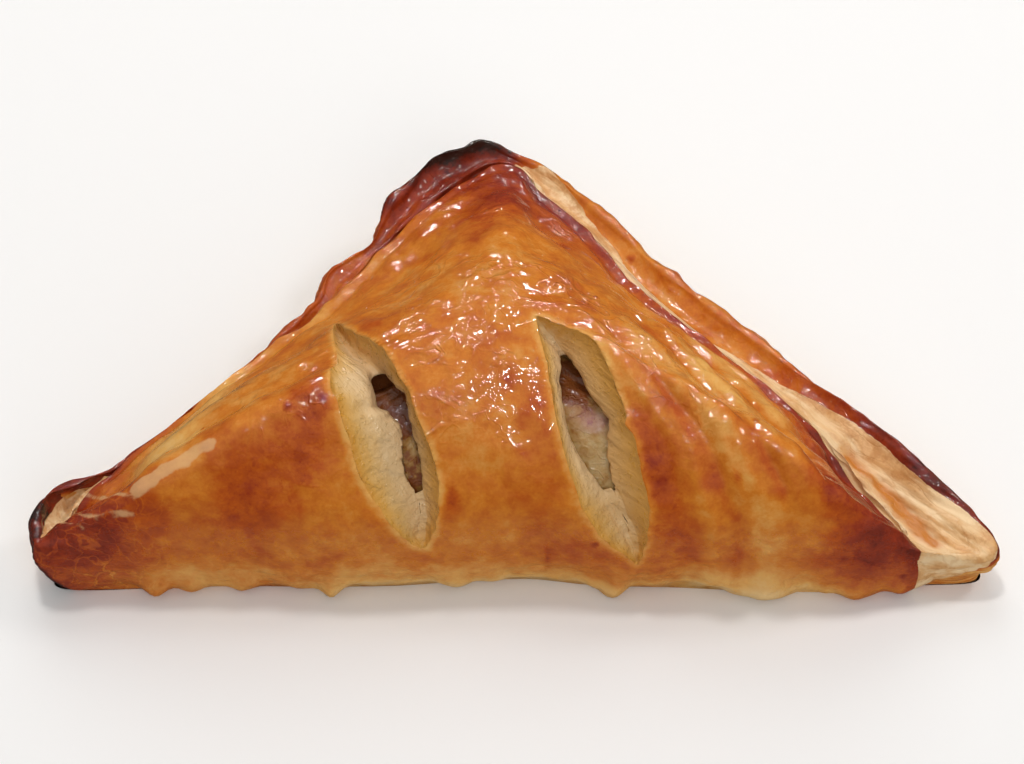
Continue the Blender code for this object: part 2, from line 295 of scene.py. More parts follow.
# %% Soft steps and humps
def smooth(value, low, high):
    """0 at low and 1 at high, with an S-shaped rise between."""
    t = np.clip((value - low) / (high - low), 0, 1)
    return t * t * (3 - 2 * t)


def window(value, start, full, fading, end):
    """0 before start and past end, 1 from full to fading."""
    return smooth(value, start, full) * smooth(-value, -end, -fading)


def hump(value, middle, width):
    """A soft hump: 1 at the middle and almost 0 at twice the width from it."""
    return np.exp(-(((value - middle) / width) ** 2))


print("a hump is down to", round(float(hump(1, 0, 1)), 2), "at its width")


# %% Outlines
def facing_degrees(angle):
    return (np.degrees(angle) + 90) % 360 - 90


def read_table(table, place, column):
    """One column of a table, eased between the rows whose first column lies round the place."""
    row = np.clip(np.searchsorted(table[:, 0], place) - 1, 0, len(table) - 2)
    share = smooth(place, table[row, 0], table[row + 1, 0])
    return table[row, column] * (1 - share) + table[row + 1, column] * share


def leg_value(angle, column):
    return MM * read_table(LEG_TABLE, facing_degrees(angle), column)


def plan_radius(angle, edges, sharpness):
    """Distance from the centre to a polygon with rounded corners."""
    total = 0
    for facing, distance in edges:
        total = total + (np.maximum(np.cos(angle - math.radians(facing)), 0) / distance) ** sharpness
    return total ** (-1 / sharpness)


def leg_share(angle):
    """0 along the fold, 1 along the two cut legs."""
    return window(facing_degrees(angle), *CORNERS)


def wobble(angle, seed, size):
    waves = ((3, 0.5), (7, 0.3), (13, 0.2))
    return size * sum(part * np.sin(turns * angle + seed * turns) for turns, part in waves)


def outlines(angle):
    """Radii of the upper sheet and of the lower sheet."""
    upper = plan_radius(angle, UPPER_EDGES, UPPER_SHARPNESS) + wobble(angle, 1.3, WOBBLE)
    lower = plan_radius(angle, LOWER_EDGES, LOWER_SHARPNESS) + wobble(angle, 0.4, WOBBLE)
    upper, lower = upper + leg_value(angle, 4), lower + leg_value(angle, 5)
    return upper, np.maximum(lower, upper + NARROWEST_LEDGE)


def spread_angles(count):
    """Angles round the outline, spaced by its length and closer together at the corners."""
    corner_weight = 0.016
    fine = np.radians(np.linspace(-90, 270, 4001))
    radius = plan_radius(fine, LOWER_EDGES, LOWER_SHARPNESS)
    x, y = radius * np.cos(fine), radius * np.sin(fine)
    step = np.hypot(np.diff(x), np.diff(y))
    turn = np.abs(np.append(np.diff(np.unwrap(np.arctan2(np.diff(y), np.diff(x)))), 0))
    travelled = np.append(0, np.cumsum(step + corner_weight * turn))
    return np.interp(np.arange(count) / count * travelled[-1], travelled, fine)


print("apex at", round(float(outlines(np.array([math.pi / 2]))[1][0]) * 1000, 1), "mm from the centre")

# %% [markdown]
# ## Profiles
# A cut leg and the fold have different cross-sections, so each is written as the same number of rings,
# and the two are mixed at the corners where the fold opens. A few rings fix the form, and a smooth
# curve through them (Catmull-Rom) gives as many rings as the surface needs, which is lighter than
# subdividing the whole mesh and keeps the lip's edge where it was put.

# %% Rings down a cut leg
DOME_SHARES = (0, 0.10, 0.20, 0.30, 0.40, 0.49, 0.58, 0.66, 0.74, 0.81, 0.87, 0.92, 0.965, 1)


def dome_radius(angle, share):
    """Radius of a ring this share of the way out: rounder near the top, the sheet's own outline at 1."""
    upper, _ = outlines(angle)
    soft = plan_radius(angle, UPPER_EDGES, DOME_SHARPNESS)
    return share * (soft + (upper - soft) * share**1.5)


def leg_profile(angle):
    """Rings down a cut leg: dome, groove, lip, the pale face below it, the curled rim and the outer wall."""
    upper, lower = outlines(angle)
    lip, valley, rim = (leg_value(angle, column) for column in (1, 2, 3))
    crest = upper - LIP_WIDTH
    degrees = facing_degrees(angle)
    fullness = 2.1 - 0.5 * window(degrees, -15, 35, 145, 195)
    rings = []
    for share in DOME_SHARES:
        radius = dome_radius(angle, share) * crest / upper
        fall = 1 - share**fullness
        dent = hump(crest - radius, 6.5 * MM, 3.0 * MM) * smooth(share, 0.3, 0.6)
        rings.append((radius, lip + (DOME_HEIGHT - lip) * fall - GROOVE_DEPTH * dent))
    drop, ledge = lip - valley, lower - upper
    flat = np.zeros_like(angle)
    return rings + [
        (upper - 0.8 * MM, lip - 0.5 * MM),
        (upper, lip - 1.9 * MM),
        (upper + 0.02 * ledge, lip - 0.45 * drop),
        (upper + 0.16 * ledge, lip - 0.80 * drop),
        (upper + 0.40 * ledge, valley),
        (upper + 0.66 * ledge, valley + 0.45 * (rim - valley)),
        (lower - np.minimum(1.8 * MM, 0.22 * ledge), rim),
        (lower - 0.4 * MM, rim - 0.8 * MM),
        (lower, rim - 2.8 * MM),
        (lower - 0.9 * MM, 0.42 * rim),
        (lower - 2.6 * MM, 0.16 * rim),
        (lower - FOOT_TUCK, flat),
        ((lower - FOOT_TUCK) * 0.55, flat),
    ]


print("rings down a leg", len(leg_profile(np.zeros(1))))

# %% Rings down the fold
FOLD_TURNS = [52 * share for share in DOME_SHARES] + [56, 60, 64, 68, 72, 76, 80, 84.5, 90]


def fold_profile(angle):
    """Rings down the rounded fold."""
    upper, _ = outlines(angle)
    flat = np.zeros_like(angle)
    rings = []
    for degrees in FOLD_TURNS:
        turn = math.radians(degrees)
        z = FOLD_BULGE_HEIGHT + (DOME_HEIGHT - FOLD_BULGE_HEIGHT) * max(math.cos(turn), 0) ** 0.90
        rings.append((dome_radius(angle, math.sin(turn) ** 0.92), z + flat))
    return rings + [
        (upper - 0.6 * MM, 3.4 * MM + flat),
        (upper - 2.0 * MM, 1.1 * MM + flat),
        (upper - FOOT_TUCK * 0.9, flat),
        ((upper - FOOT_TUCK) * 0.55, flat),
    ]


print("rings down the fold", len(fold_profile(np.zeros(1))))


# %% One set of rings, and the curve through them
def control_rings(angle):
    """Radii and heights of every control ring, as two tables of ring by angle."""
    share = leg_share(angle)
    leg, fold = np.array(leg_profile(angle)), np.array(fold_profile(angle))
    mixed = fold + (leg - fold) * share
    return mixed[:, 0], mixed[:, 1]


def curve_through(rows, places):
    """Reads rows at fractional places along a Catmull-Rom curve through them."""
    i = np.clip(np.floor(places).astype(int), 0, len(rows) - 2)
    t = (places - i)[:, None]
    before, after = np.maximum(i - 1, 0), np.minimum(i + 2, len(rows) - 1)
    p0, p1, p2, p3 = rows[before], rows[i], rows[i + 1], rows[after]
    bend = 2 * p0 - 5 * p1 + 4 * p2 - p3
    cubic = -p0 + 3 * p1 - 3 * p2 + p3
    return 0.5 * (2 * p1 + (p2 - p0) * t + bend * t**2 + cubic * t**3)


print("control rings", len(control_rings(np.zeros(1))[0]))

# %% [markdown]
# ## One dense skin
# The rings are joined into a closed body. Near the top the rings are short, so they need fewer points:
# each time the radius halves the count halves too, and a strip of triangles joins the two counts. The
# body also remembers, for every point, how far along the surface it lies past the lip, the rim and the
# pale strip. Those distances colour the cut edges later.

# %% Rings and the faces between them
SIDES = 704
LIP_EDGE, RIM_EDGE, FOOT = 14.6, 20.9, 24.0


def ring_places():
    """Places along the profile, closer together where the edge has its detail."""
    dome = np.linspace(0, 13, 66)[1:]
    edge = np.linspace(13, 24, 62)[1:]
    base = np.array((24.35, 24.8, 25.3, 26.0))
    return np.concatenate([dome, edge, base])


def ring_counts(radii):
    """How many points each ring gets: all of them at the edge, halving towards both poles."""
    reach = radii.mean(1) / radii.mean(1).max()
    counts = np.where(reach > 0.44, SIDES, np.where(reach > 0.22, SIDES // 2, SIDES // 4))
    return np.where(reach < 0.09, SIDES // 8, counts)


def bridge(a, b, count_a, count_b):
    """Faces between ring a and the next ring b, whose counts are equal or differ by two."""
    faces = []
    n = min(count_a, count_b)
    for i in range(n):
        j = (i + 1) % n
        if count_a == count_b:
            faces.append((a + i, b + i, b + j, a + j))
        elif count_a < count_b:
            near = (b + 2 * i, b + 2 * i + 1, b + (2 * i + 2) % count_b)
            faces += [(a + i, near[0], near[1]), (a + i, near[1], a + j), (a + j, near[1], near[2])]
        else:
            near = (a + 2 * i, a + 2 * i + 1, a + (2 * i + 2) % count_a)
            faces += [(near[0], b + i, near[1]), (near[1], b + i, b + j), (near[1], b + j, near[2])]
    return faces


def stitch(counts):
    """Faces of a closed body whose points are one point, rings with these counts, and one point."""
    starts = np.cumsum([1, *counts]).tolist()
    first, last = counts[0], counts[-1]
    faces = [(0, 1 + i, 1 + (i + 1) % first) for i in range(first)]
    for k in range(len(counts) - 1):
        faces += bridge(starts[k], starts[k + 1], counts[k], counts[k + 1])
    end = starts[-2]
    return faces + [(end + i, starts[-1], end + (i + 1) % last) for i in range(last)]


print("rings", len(ring_places()), "of up to", SIDES, "points")


# %% Uncut body
def past_place(walk, places, start):
    """How far along the surface each point lies past a control ring, which may differ by column."""
    starts = np.broadcast_to(start, SIDES)
    return walk - np.array([np.interp(starts[k], places, walk[:, k]) for k in range(SIDES)])


def dense_body():
    """Points, faces and the surface distances of the uncut turnover."""
    angle = spread_angles(SIDES)
    places = ring_places()
    control_radius, control_height = control_rings(angle)
    radius, height = curve_through(control_radius, places), curve_through(control_height, places)
    height = np.where(places[:, None] >= FOOT, 0, np.maximum(height, 0))
    steps = np.hypot(np.diff(radius, axis=0), np.diff(height, axis=0))
    walk = np.vstack([np.zeros(SIDES), np.cumsum(steps, 0)])
    share = leg_share(angle)
    past_lip = past_place(walk, places, LIP_EDGE) * share - 8 * MM * (1 - share)
    past_rim = past_place(walk, places, RIM_EDGE) * share - 8 * MM * (1 - share)
    past_pale = past_place(walk, places, read_table(BAKE_TABLE, facing_degrees(angle), 3))

    counts = ring_counts(radius)
    points, facts = [(*CENTRE, DOME_HEIGHT)], [(0.0, 0.0, -0.04, -0.05, -0.05)]
    known = np.array([np.broadcast_to(angle, walk.shape), np.broadcast_to(places[:, None], walk.shape)])
    known = np.concatenate([known, [past_lip, past_rim, past_pale]])
    for k, count in enumerate(counts):
        pick = np.arange(0, SIDES, SIDES // count)
        x = CENTRE[0] + radius[k, pick] * np.cos(angle[pick])
        y = CENTRE[1] + radius[k, pick] * np.sin(angle[pick])
        points += list(zip(x, y, height[k, pick]))
        facts += known[:, k, pick].T.tolist()
    points.append((*CENTRE, 0))
    facts.append((0.0, 27.0, 0.06, 0.05, 0.05))
    return np.array(points, float), stitch(counts), np.array(facts, float)


body_points, body_faces, body_facts = dense_body()
print("skin points", len(body_points), "faces", len(body_faces))


# %% Meshes and their points
def make_object(name, points, faces):
    mesh = bpy.data.meshes.new(name)
    mesh.from_pydata(np.asarray(points, float).tolist(), [], faces)
    mesh.update()
    mesh.shade_smooth()
    return put(name, mesh)


def points_of(mesh):
    flat = np.empty(len(mesh.vertices) * 3)
    mesh.vertices.foreach_get("co", flat)
    return flat.reshape(-1, 3)


def normals_of(mesh):
    flat = np.empty(len(mesh.vertices) * 3)
    mesh.vertex_normals.foreach_get("vector", flat)
    return flat.reshape(-1, 3)


def move_points(mesh, points):
    mesh.vertices.foreach_set("co", np.asarray(points, float).ravel())
    mesh.update()


pastry = make_object("pastry_skin", body_points, body_faces)
print("smooth skin", np.round(np.ptp(body_points, axis=0) / MM, 1), "mm")

# %% [markdown]
# ## Relief in the dough
# Baked dough swells in broad puffs with small knobs on them, folds into pleats beside the right leg,
# tears into long sheets where it is pale and dry, and shows its layers in the cut edge. Egg wash and
# butter ran down to the foot of the fold and set there in drips. Each of these is a height over the
# skin, made from smooth noise at its own scale, and all of them are added and pushed out along the
# normals. Modelled height, rather than bump alone, is what breaks the outline. All of it is low, so the
# dressed crust stays where the plain one is.


# %% Noise helpers
def grain(points, size, shift=(0, 0, 0)):
    """Smooth noise between about -1 and 1, with lumps of this size."""
    moved = np.asarray(points) / size + np.array(shift)
    return np.array([noise.noise(Vector(p)) for p in moved])


def spots(points, marks):
    """Adds up round soft marks given as x, y, reach in millimetres and amount."""
    total = np.zeros(len(points))
    for x, y, reach, amount in marks:
        away = ((points[:, 0] / MM - x) ** 2 + (points[:, 1] / MM - y) ** 2) / reach**2
        total += amount * np.exp(-away)
    return total


print("noise helpers ready")


# %% Pleats, splits and torn sheets
def pleat_height(points):
    """Rounded ridges with narrow valleys that run down and outwards beside the right leg, about -1 to 1."""
    x, y, _ = points.T / MM
    across = 0.8 * x + 0.6 * y + 1.4 * grain(points, 0.011, (2, 2, 5))
    along = 0.6 * x - 0.8 * y
    where = window(along, 12, 22, 46, 62) * window(across, -4, 2, 21, 28)
    ridge = (np.cos(np.pi * (across - 1.0) / 6.8) ** 2 + 0.012) ** 0.45
    small = (np.cos(np.pi * (across + 0.12 * along) / 2.3) ** 2 + 0.05) ** 0.5
    return where * (1.7 * ridge - 1.0 + 0.25 * small)


def line_distance(points, corners):
    """Distance in millimetres, seen from above, to a line through a few places."""
    flat = points[:, :2] / MM
    best = np.full(len(points), 99.0)
    for start, end in zip(np.array(corners[:-1], float), np.array(corners[1:], float)):
        way = end - start
        share = np.clip(((flat - start) @ way) / (way @ way), 0, 1)
        best = np.minimum(best, np.linalg.norm(flat - start - share[:, None] * way, axis=1))
    return best


# A split between two layers in the pale face by the right corner.
SPLIT = ((52.0, -18.5), (53.8, -20.3), (56.3, -22.6), (59.3, -26.4), (62.0, -29.8), (64.5, -33.0))


def split_depth(points):
    away = line_distance(points, SPLIT) + 0.8 * grain(points, 0.0035, (2, 5, 5))
    away += 0.35 * grain(points, 0.0014)
    return hump(away, 0, 1.0)


def torn_face(points):
    """Height of thin bent sheets that run along the right leg, in millimetres."""
    x, y, z = points.T / MM
    along, out = 0.73 * x - 0.68 * y, 0.68 * x + 0.73 * y
    stretched = np.column_stack([along / 9.0, out / 2.6, z / 2.6])
    sheets, finer = grain(stretched, 1.0), grain(stretched * 2.7, 1.0, (5, 5, 5))
    steps = np.abs(np.sin(1.9 * (out + 1.3 * sheets + 0.6 * z)))
    return 0.75 * sheets + 0.30 * finer + 0.30 * steps - 0.25


print("the split bends at", len(SPLIT) - 2, "places")

# %% Height of the dough
# Facings where the dough between lip and rim is dry and torn: right corner, apex and left corner.
DRY_PLACES = ((-40, -14, -12, -3), (78, 84, 88, 92), (193, 198, 201, 206))


def dough_relief(points, facts):
    """Height of the dough over its smooth form, in metres."""
    angle, place, past_lip, past_rim, _ = facts.T
    z = points[:, 2] / MM
    degrees = facing_degrees(angle)
    puffs = 1.1 * grain(points, 0.017) + 0.5 * grain(points, 0.0075, (5, 2, 9))
    small = 0.26 * grain(points, 0.0042, (1, 7, 3)) + 0.14 * grain(points, 0.0021, (4, 4, 8))
    dome = smooth(-past_lip, -1.0 * MM, 4 * MM)
    pleats = 0.85 * pleat_height(points) * dome

    leg = leg_share(angle)
    side = smooth(past_lip, 0.3 * MM, 1.5 * MM) * leg
    inner_side = side * smooth(-past_rim, 0.6 * MM, 2.0 * MM)
    wall = window(place, 20.6, 21.6, 23, 24) * leg
    dry = np.max([window(degrees, *facings) for facings in DRY_PLACES], axis=0)
    flaky = dry * (inner_side * torn_face(points) - 0.9 * side * split_depth(points))
    bend = 0.5 * grain(points, 0.012, (8, 1, 1)) + 0.25 * grain(points, 0.004, (8, 1, 1))
    edges = 0.40 * np.abs(np.sin(2.6 * (z + bend))) - 0.25
    layers = wall * (edges + 0.3 * grain(points * (1, 1, 4), 0.006, (9, 9, 1)))
    knobs = 0.34 * grain(points, 0.0042, (6, 2, 2)) + 0.24 * grain(points, 0.0019, (3, 2, 9))
    ripple = side * (1 - dry) * knobs
    lip = hump(past_lip, 0, 1.6 * MM) * leg * 0.35 * grain(points, 0.0035, (0, 3, 3))
    return (puffs + small + pleats + flaky + layers + ripple + lip) * MM


print("dry places", len(DRY_PLACES))

# %% Drips, and fitting the size
# Drips along the foot of the fold: place across, half width and size, in millimetres.
DRIPS = (
    (-55.5, 2.4, 2.2), (-49.0, 3.0, 0.9), (-41.5, 2.6, 1.3), (-28.5, 1.6, 2.0), (-8.0, 5.0, 0.6),
    (14.0, 3.0, 1.4), (22.0, 2.0, 0.8), (38.0, 4.0, 0.8), (53.0, 3.4, 1.6), (59.0, 1.8, 1.2),
)


def push_out(mesh, facts):
    """Adds the relief and the drips to the smooth skin."""
    points, normals = points_of(mesh), normals_of(mesh)
    x, y, z = points.T
    drips = np.maximum(grain(points * (1, 1, 0.4), 0.0060, (7, 7, 7)) - 0.05, 0) * 2.2
    drips += 0.7 * grain(points * (1, 1, 0.3), 0.011, (1, 5, 5)) + 0.5 * grain(points * (1, 1, 0.5), 0.0032)
    low = smooth(-z, -6 * MM, -2.5 * MM) * smooth(-y, 30 * MM, 34 * MM)
    for across, half, size in DRIPS:
        drips += size * low * hump(x / MM, across, half)
    lumps = window(z, 0, 1.0 * MM, 5 * MM, 11 * MM) * drips * MM
    relief = dough_relief(points, facts) * smooth(z, 0.5 * MM, 6 * MM)
    moved = points + normals * (relief + lumps)[:, None]
    moved[:, 2] = np.maximum(moved[:, 2], 0)
    move_points(mesh, moved)


def draw_back(mesh):
    """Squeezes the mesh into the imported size, which the relief has passed by a little."""
    points = points_of(mesh)
    low, high = (np.array(corner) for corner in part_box("pastry"))
    own_low, own_high = points.min(0), points.max(0)
    share = (points - own_low) / (own_high - own_low)
    room = 0.05 * MM * np.array((1, 1, 0))
    move_points(mesh, low + room + share * (high - low - 2 * room))


push_out(pastry.data, body_facts)
draw_back(pastry.data)
print("crust now", [tuple(round(v / MM, 1) for v in corner) for corner in list(pastry.bound_box)[::6]])

# %% [markdown]
# ## The two slits
# Each slit opened in the oven: its walls lean back from a narrow hole to a wide mouth, and torn layers
# show in them. A cutter is lofted from cross-sections along the slit and taken away from the
# crust with a Boolean, so the walls get their own dense, rough surface. Each row of a slit's table says
# how far its two rims and the two sides of its hole lie from a line between its ends, and how deep it is.

# %% Left slit
SLIT_PLANE_TILT = math.radians(55)

# Place along the slit from -1 to 1; left rim, right rim, left and right of the hole, depth; millimetres.
LEFT_SLIT = np.array((
    (-1.00, -0.2, 0.2, 0.0, 0.1, 0.6),
    (-0.92, -0.4, 1.3, 0.4, 0.6, 1.6),
    (-0.83, -0.8, 2.8, 1.2, 1.7, 2.7),
    (-0.73, -1.2, 4.7, 2.4, 3.2, 3.6),
    (-0.66, -1.7, 5.7, 2.8, 4.3, 5.0),
    (-0.61, -2.1, 6.2, 2.6, 4.9, 10.0),
    (-0.42, -3.1, 7.0, 2.2, 5.7, 12.5),
    (-0.24, -4.0, 7.3, 1.8, 6.7, 12.5),
    (-0.10, -4.4, 7.1, 3.3, 6.3, 12.5),
    (0.06, -4.8, 6.9, 4.3, 5.6, 12.5),
    (0.24, -4.8, 6.8, 4.2, 4.9, 12.5),
    (0.38, -4.6, 6.5, 3.6, 4.1, 12.5),
    (0.52, -4.3, 6.0, 2.8, 3.2, 10.0),
    (0.59, -4.0, 5.5, 2.5, 2.8, 3.6),
    (0.72, -3.6, 4.6, 2.1, 2.5, 3.2),
    (0.86, -2.8, 3.0, 1.3, 1.6, 2.8),
    (0.95, -1.9, 1.5, 0.2, 0.4, 1.8),
    (1.00, -0.7, 0.3, -0.3, 0.0, 0.7),
))
print("widest place of the left slit", (LEFT_SLIT[:, 2] - LEFT_SLIT[:, 1]).max(), "mm")

# %% Right slit, and both
RIGHT_SLIT = np.array((
    (-1.00, -0.2, 0.2, -0.1, 0.1, 0.6),
    (-0.93, -0.6, 1.5, 0.4, 0.7, 1.7),
    (-0.86, -0.9, 3.2, 1.2, 1.7, 2.8),
    (-0.79, -1.1, 5.0, 1.9, 2.4, 4.0),
    (-0.72, -1.3, 5.9, 1.9, 2.9, 5.4),
    (-0.66, -1.5, 6.4, 1.4, 3.2, 10.0),
    (-0.50, -2.2, 6.7, -0.1, 3.4, 12.5),
    (-0.34, -2.9, 6.9, -1.0, 3.3, 12.5),
    (-0.18, -3.4, 6.9, -1.7, 3.8, 12.5),
    (-0.08, -3.7, 6.8, -2.0, 4.1, 12.5),
    (-0.02, -3.9, 6.1, -2.2, 3.6, 12.5),
    (0.08, -4.1, 6.6, -2.2, 2.4, 12.5),
    (0.22, -4.3, 6.2, -1.8, 1.0, 12.5),
    (0.34, -4.4, 5.8, -1.2, 0.1, 12.5),
    (0.40, -4.5, 5.6, -0.9, -0.3, 10.0),
    (0.45, -4.5, 5.5, -0.7, -0.2, 3.2),
    (0.58, -4.3, 5.1, -0.5, -0.1, 3.0),
    (0.68, -3.9, 4.4, -0.4, 0.0, 2.9),
    (0.80, -2.8, 3.2, 0.1, 0.4, 2.6),
    (0.92, -1.1, 1.6, 0.2, 0.6, 1.8),
    (1.00, -0.2, 0.2, -0.1, 0.1, 0.6),
))
# The two ends of each slit, as places across and up the front of the dome, and its table.
SLITS = {
    "left": ((-0.0280, 0.0432), (-0.0136, 0.0092), LEFT_SLIT),
    "right": ((0.0034, 0.0441), (0.0185, 0.0063), RIGHT_SLIT),
}
print("widest place of the right slit", (RIGHT_SLIT[:, 2] - RIGHT_SLIT[:, 1]).max(), "mm")

# %% Slit walls
# Share of the way out from the hole to the rim at each depth: rounded at the rim, steep below.
WALL = ((5.0, 1.12), (0.8, 1.06), (0.2, 1.0), (-0.3, 0.93), (-0.9, 0.80), (-1.7, 0.60), (-2.5, 0.40))
WALL += ((-3.3, 0.20), (-4.1, 0.06), (-5.0, 0.0), (-6.6, -0.01), (-9.0, 0.10), (-12.5, 0.20))
print("a slit is at most", -WALL[-1][0], "mm deep")


# %% Lines that the slits follow
def slit_plane_point(place):
    """A point (across, up) of a plane that leans with the front of the dome."""
    across, up = place
    front = CENTRE[1] - FOLD_REACH
    return Vector((across, front + up * math.sin(SLIT_PLANE_TILT), up * math.cos(SLIT_PLANE_TILT)))


def slit_stations(skin, start, end, count):
    """Smooth frames along a slit: places on the skin, the way out of it and the way across to the right."""
    back = Vector((0, -math.cos(SLIT_PLANE_TILT), math.sin(SLIT_PLANE_TILT)))
    first, last = slit_plane_point(start), slit_plane_point(end)
    shares = np.linspace(0, 1, count)
    hits = [skin.ray_cast(first.lerp(last, share) + back * 0.2, -back)[:2] for share in shares]
    place_curve = np.polyfit(shares, np.array([hit[0] for hit in hits]), 5)
    normal_curve = np.polyfit(shares, np.array([hit[1] for hit in hits]), 2)
    powers = shares[:, None] ** np.arange(5, -1, -1)
    places = powers @ place_curve
    normals = powers[:, 3:] @ normal_curve
    normals /= np.linalg.norm(normals, axis=1)[:, None]
    across = np.cross(normals, np.gradient(places, axis=0))
    return places, normals, across / np.linalg.norm(across, axis=1)[:, None]


skin_tree = BVHTree.FromObject(pastry, bpy.context.evaluated_depsgraph_get())
STATIONS = 121
STATION_STEP = 0.28
frames = {name: slit_stations(skin_tree, slit[0], slit[1], STATIONS) for name, slit in SLITS.items()}
for name, (places, normals, across) in frames.items():
    length = np.linalg.norm(np.diff(places, axis=0), axis=1).sum()
    print(name, "slit length", round(float(length) / MM, 1), "mm")


# %% Walls of a cutter
def slit_section(row):
    """Outline of the cut across one station, as left and right offsets at each depth."""
    left, right, hole_left, hole_right, depth = row
    section = []
    for up, share in WALL:
        up = max(up, -depth)
        sides = (hole_left + (left - hole_left) * share, hole_right + (right - hole_right) * share)
        section.append((*sides, up))
    return np.array(section)


def layered_walls(points, up, side, t):
    """How far each point of a cutter's wall stands out, in millimetres: layers, tears and a crumbly rim."""
    wave = 0.9 * grain(points, 0.010, (6, 1, 4)) + 0.2 * grain(points, 0.004, (6, 1, 4))
    layered = np.sin(3.4 * (up + wave)) * smooth(-up, 0.4, 1.6)
    opening = smooth(1 - np.abs(t), 0, 0.25)
    along = STATION_STEP * (1 + (t + 1) / 2 * (STATIONS - 1))
    torn = grain(np.column_stack([along, up * 1.5, side]), 3.0, (3, 3, 3))
    hole = smooth(-up, 3.8, 5.2) * 0.22 * grain(points, 0.0022, (1, 7, 2))
    shift = 0.035 * layered + 0.20 * torn + 0.05 * grain(points, 0.0018) + hole
    edge = 0.12 * grain(points, 0.0028, (2, 8, 8)) * opening * smooth(up, -1.2, -0.2)
    return shift * opening * smooth(-up, -0.3, 0.8) + edge


def cutter_walls(row, fine_up):
    """Left and right wall of a cutter at one station, closing under the cut, and the height of each step."""
    depth, section = row[4], slit_section(row)
    steps = np.maximum(fine_up, -depth)
    heights = -np.array([up for up, _ in WALL])
    walls = [np.interp(-steps, heights, section[:, side]) for side in (0, 1)]
    under = np.clip((-depth - fine_up) / (12.6 - depth), 0, 1)
    middle = (walls[0][-1] + walls[1][-1]) / 2
    walls = [side + (middle - side) * 0.98 * under**0.6 for side in walls]
    return walls, steps - 0.35 * np.sin(np.minimum(under * 3, 1) * np.pi / 2)


print("a section has", len(slit_section(LEFT_SLIT[9, 1:])), "depths")


# %% Cutters
def slit_cutter(name, table):
    """A closed wedge with rough, layered walls."""
    places, normals, across = frames[name]
    fine_up = np.concatenate([(5.0, 2.0), np.linspace(0.6, -6.4, 25), (-7.5, -9, -10.7, -12.5)])
    points, size = [], 2 * len(fine_up)
    t = np.linspace(-1, 1, STATIONS)
    rows = np.column_stack([read_table(table, t, column) for column in range(1, 6)])
    for k in range(STATIONS):
        walls, steps = cutter_walls(rows[k], fine_up)
        for sideways, order in zip(walls, (slice(None, None, -1), slice(None))):
            offsets = across[k] * sideways[order, None] + normals[k] * steps[order, None]
            points += list(places[k] + offsets * MM)
    points = np.array(points)
    up = np.tile(np.concatenate([fine_up[::-1], fine_up]), STATIONS)
    side = np.tile(np.repeat((-1, 1), len(fine_up)), STATIONS)
    way = np.repeat(across, size, axis=0) * side[:, None]
    points += way * (layered_walls(points, up, np.sign(way[:, 0]), np.repeat(t, size)) * MM)[:, None]
    faces = []
    for k in range(STATIONS - 1):
        a, b = k * size, (k + 1) * size
        faces += [(a + i, b + i, b + (i + 1) % size, a + (i + 1) % size) for i in range(size)]
    faces.append(tuple(range(size)))
    faces.append(tuple(range(STATIONS * size - 1, (STATIONS - 1) * size - 1, -1)))
    cutter = make_object(f"{name}_slit_cutter", points, faces)
    shape = bmesh.new()
    shape.from_mesh(cutter.data)
    bmesh.ops.recalc_face_normals(shape, faces=shape.faces)
    shape.to_mesh(cutter.data)
    shape.free()
    return cutter


print("slit cutters have", STATIONS, "sections each")

# %% [markdown]
# The crust is hollow, and the filling lies in the hollow. Its inside is only seen through the slits, so
# it is a plain low pillow.


# %% Hollow
def inner_rings(angle, inset, sink):
    """Rings of a pillow inside the crust. inset shrinks it evenly and sink lowers its top."""
    upper, _ = outlines(angle)
    share = leg_share(angle)
    reach = upper - CRUST * 1.15 - 4.0 * MM * share - inset
    middle = HOLLOW_WAIST
    roof = DOME_HEIGHT - CRUST - inset - sink
    floor = CRUST * 0.85 + inset
    rings = []
    for degrees in (0, 6, 12, 18, 24, 30, 36, 42, 48, 53, 58, 63, 67, 71, 75, 79, 83, 90):
        across = math.sin(math.radians(degrees))
        fold_height = max(math.cos(math.radians(degrees)), 0) ** 0.9
        leg_height = (1 - across**2) ** 0.95
        height = fold_height + (leg_height - fold_height) * share
        rings.append((reach * across, middle + (roof - middle) * height))
    for degrees in (105, 125, 145):
        turn = math.radians(degrees)
        z = middle + (middle - floor) * math.cos(turn)
        rings.append((reach * math.sin(turn) ** 0.6, z + np.zeros_like(angle)))
    return rings, roof, floor


def pillow(name, sides, inset, sink):
    """A closed body through the inner rings."""
    angle = spread_angles(sides)
    rings, roof, floor = inner_rings(angle, inset, sink)
    points = [(*CENTRE, roof)]
    for radius, height in rings[1:]:
        points += list(zip(CENTRE[0] + radius * np.cos(angle), CENTRE[1] + radius * np.sin(angle), height))
    points.append((*CENTRE, floor))
    return make_object(name, points, stitch([sides] * (len(rings) - 1)))


print("hollow has", len(inner_rings(np.zeros(1), 0, 0)[0]), "rings")


# %% Cutting
def cut_away(thing, cutters):
    """Takes the cutters away from the mesh and removes them."""
    for cutter in cutters:
        modifier = thing.modifiers.new(cutter.name, "BOOLEAN")
        modifier.operation = "DIFFERENCE"
        modifier.solver = "MANIFOLD"
        modifier.object = cutter
    evaluated = thing.evaluated_get(bpy.context.evaluated_depsgraph_get())
    mesh = bpy.data.meshes.new_from_object(evaluated)
    thing.modifiers.clear()
    thing.data = mesh
    for cutter in cutters:
        bpy.data.objects.remove(cutter)


uncut_points = points_of(pastry.data)
cutters = [pillow("hollow", sides=96, inset=0, sink=0)]
cutters += [slit_cutter(name, table) for name, (_, _, table) in SLITS.items()]
cut_away(pastry, cutters)
triangles = sum(len(face.vertices) - 2 for face in pastry.data.polygons)
print("cut crust", len(pastry.data.vertices), "points,", triangles, "triangles")

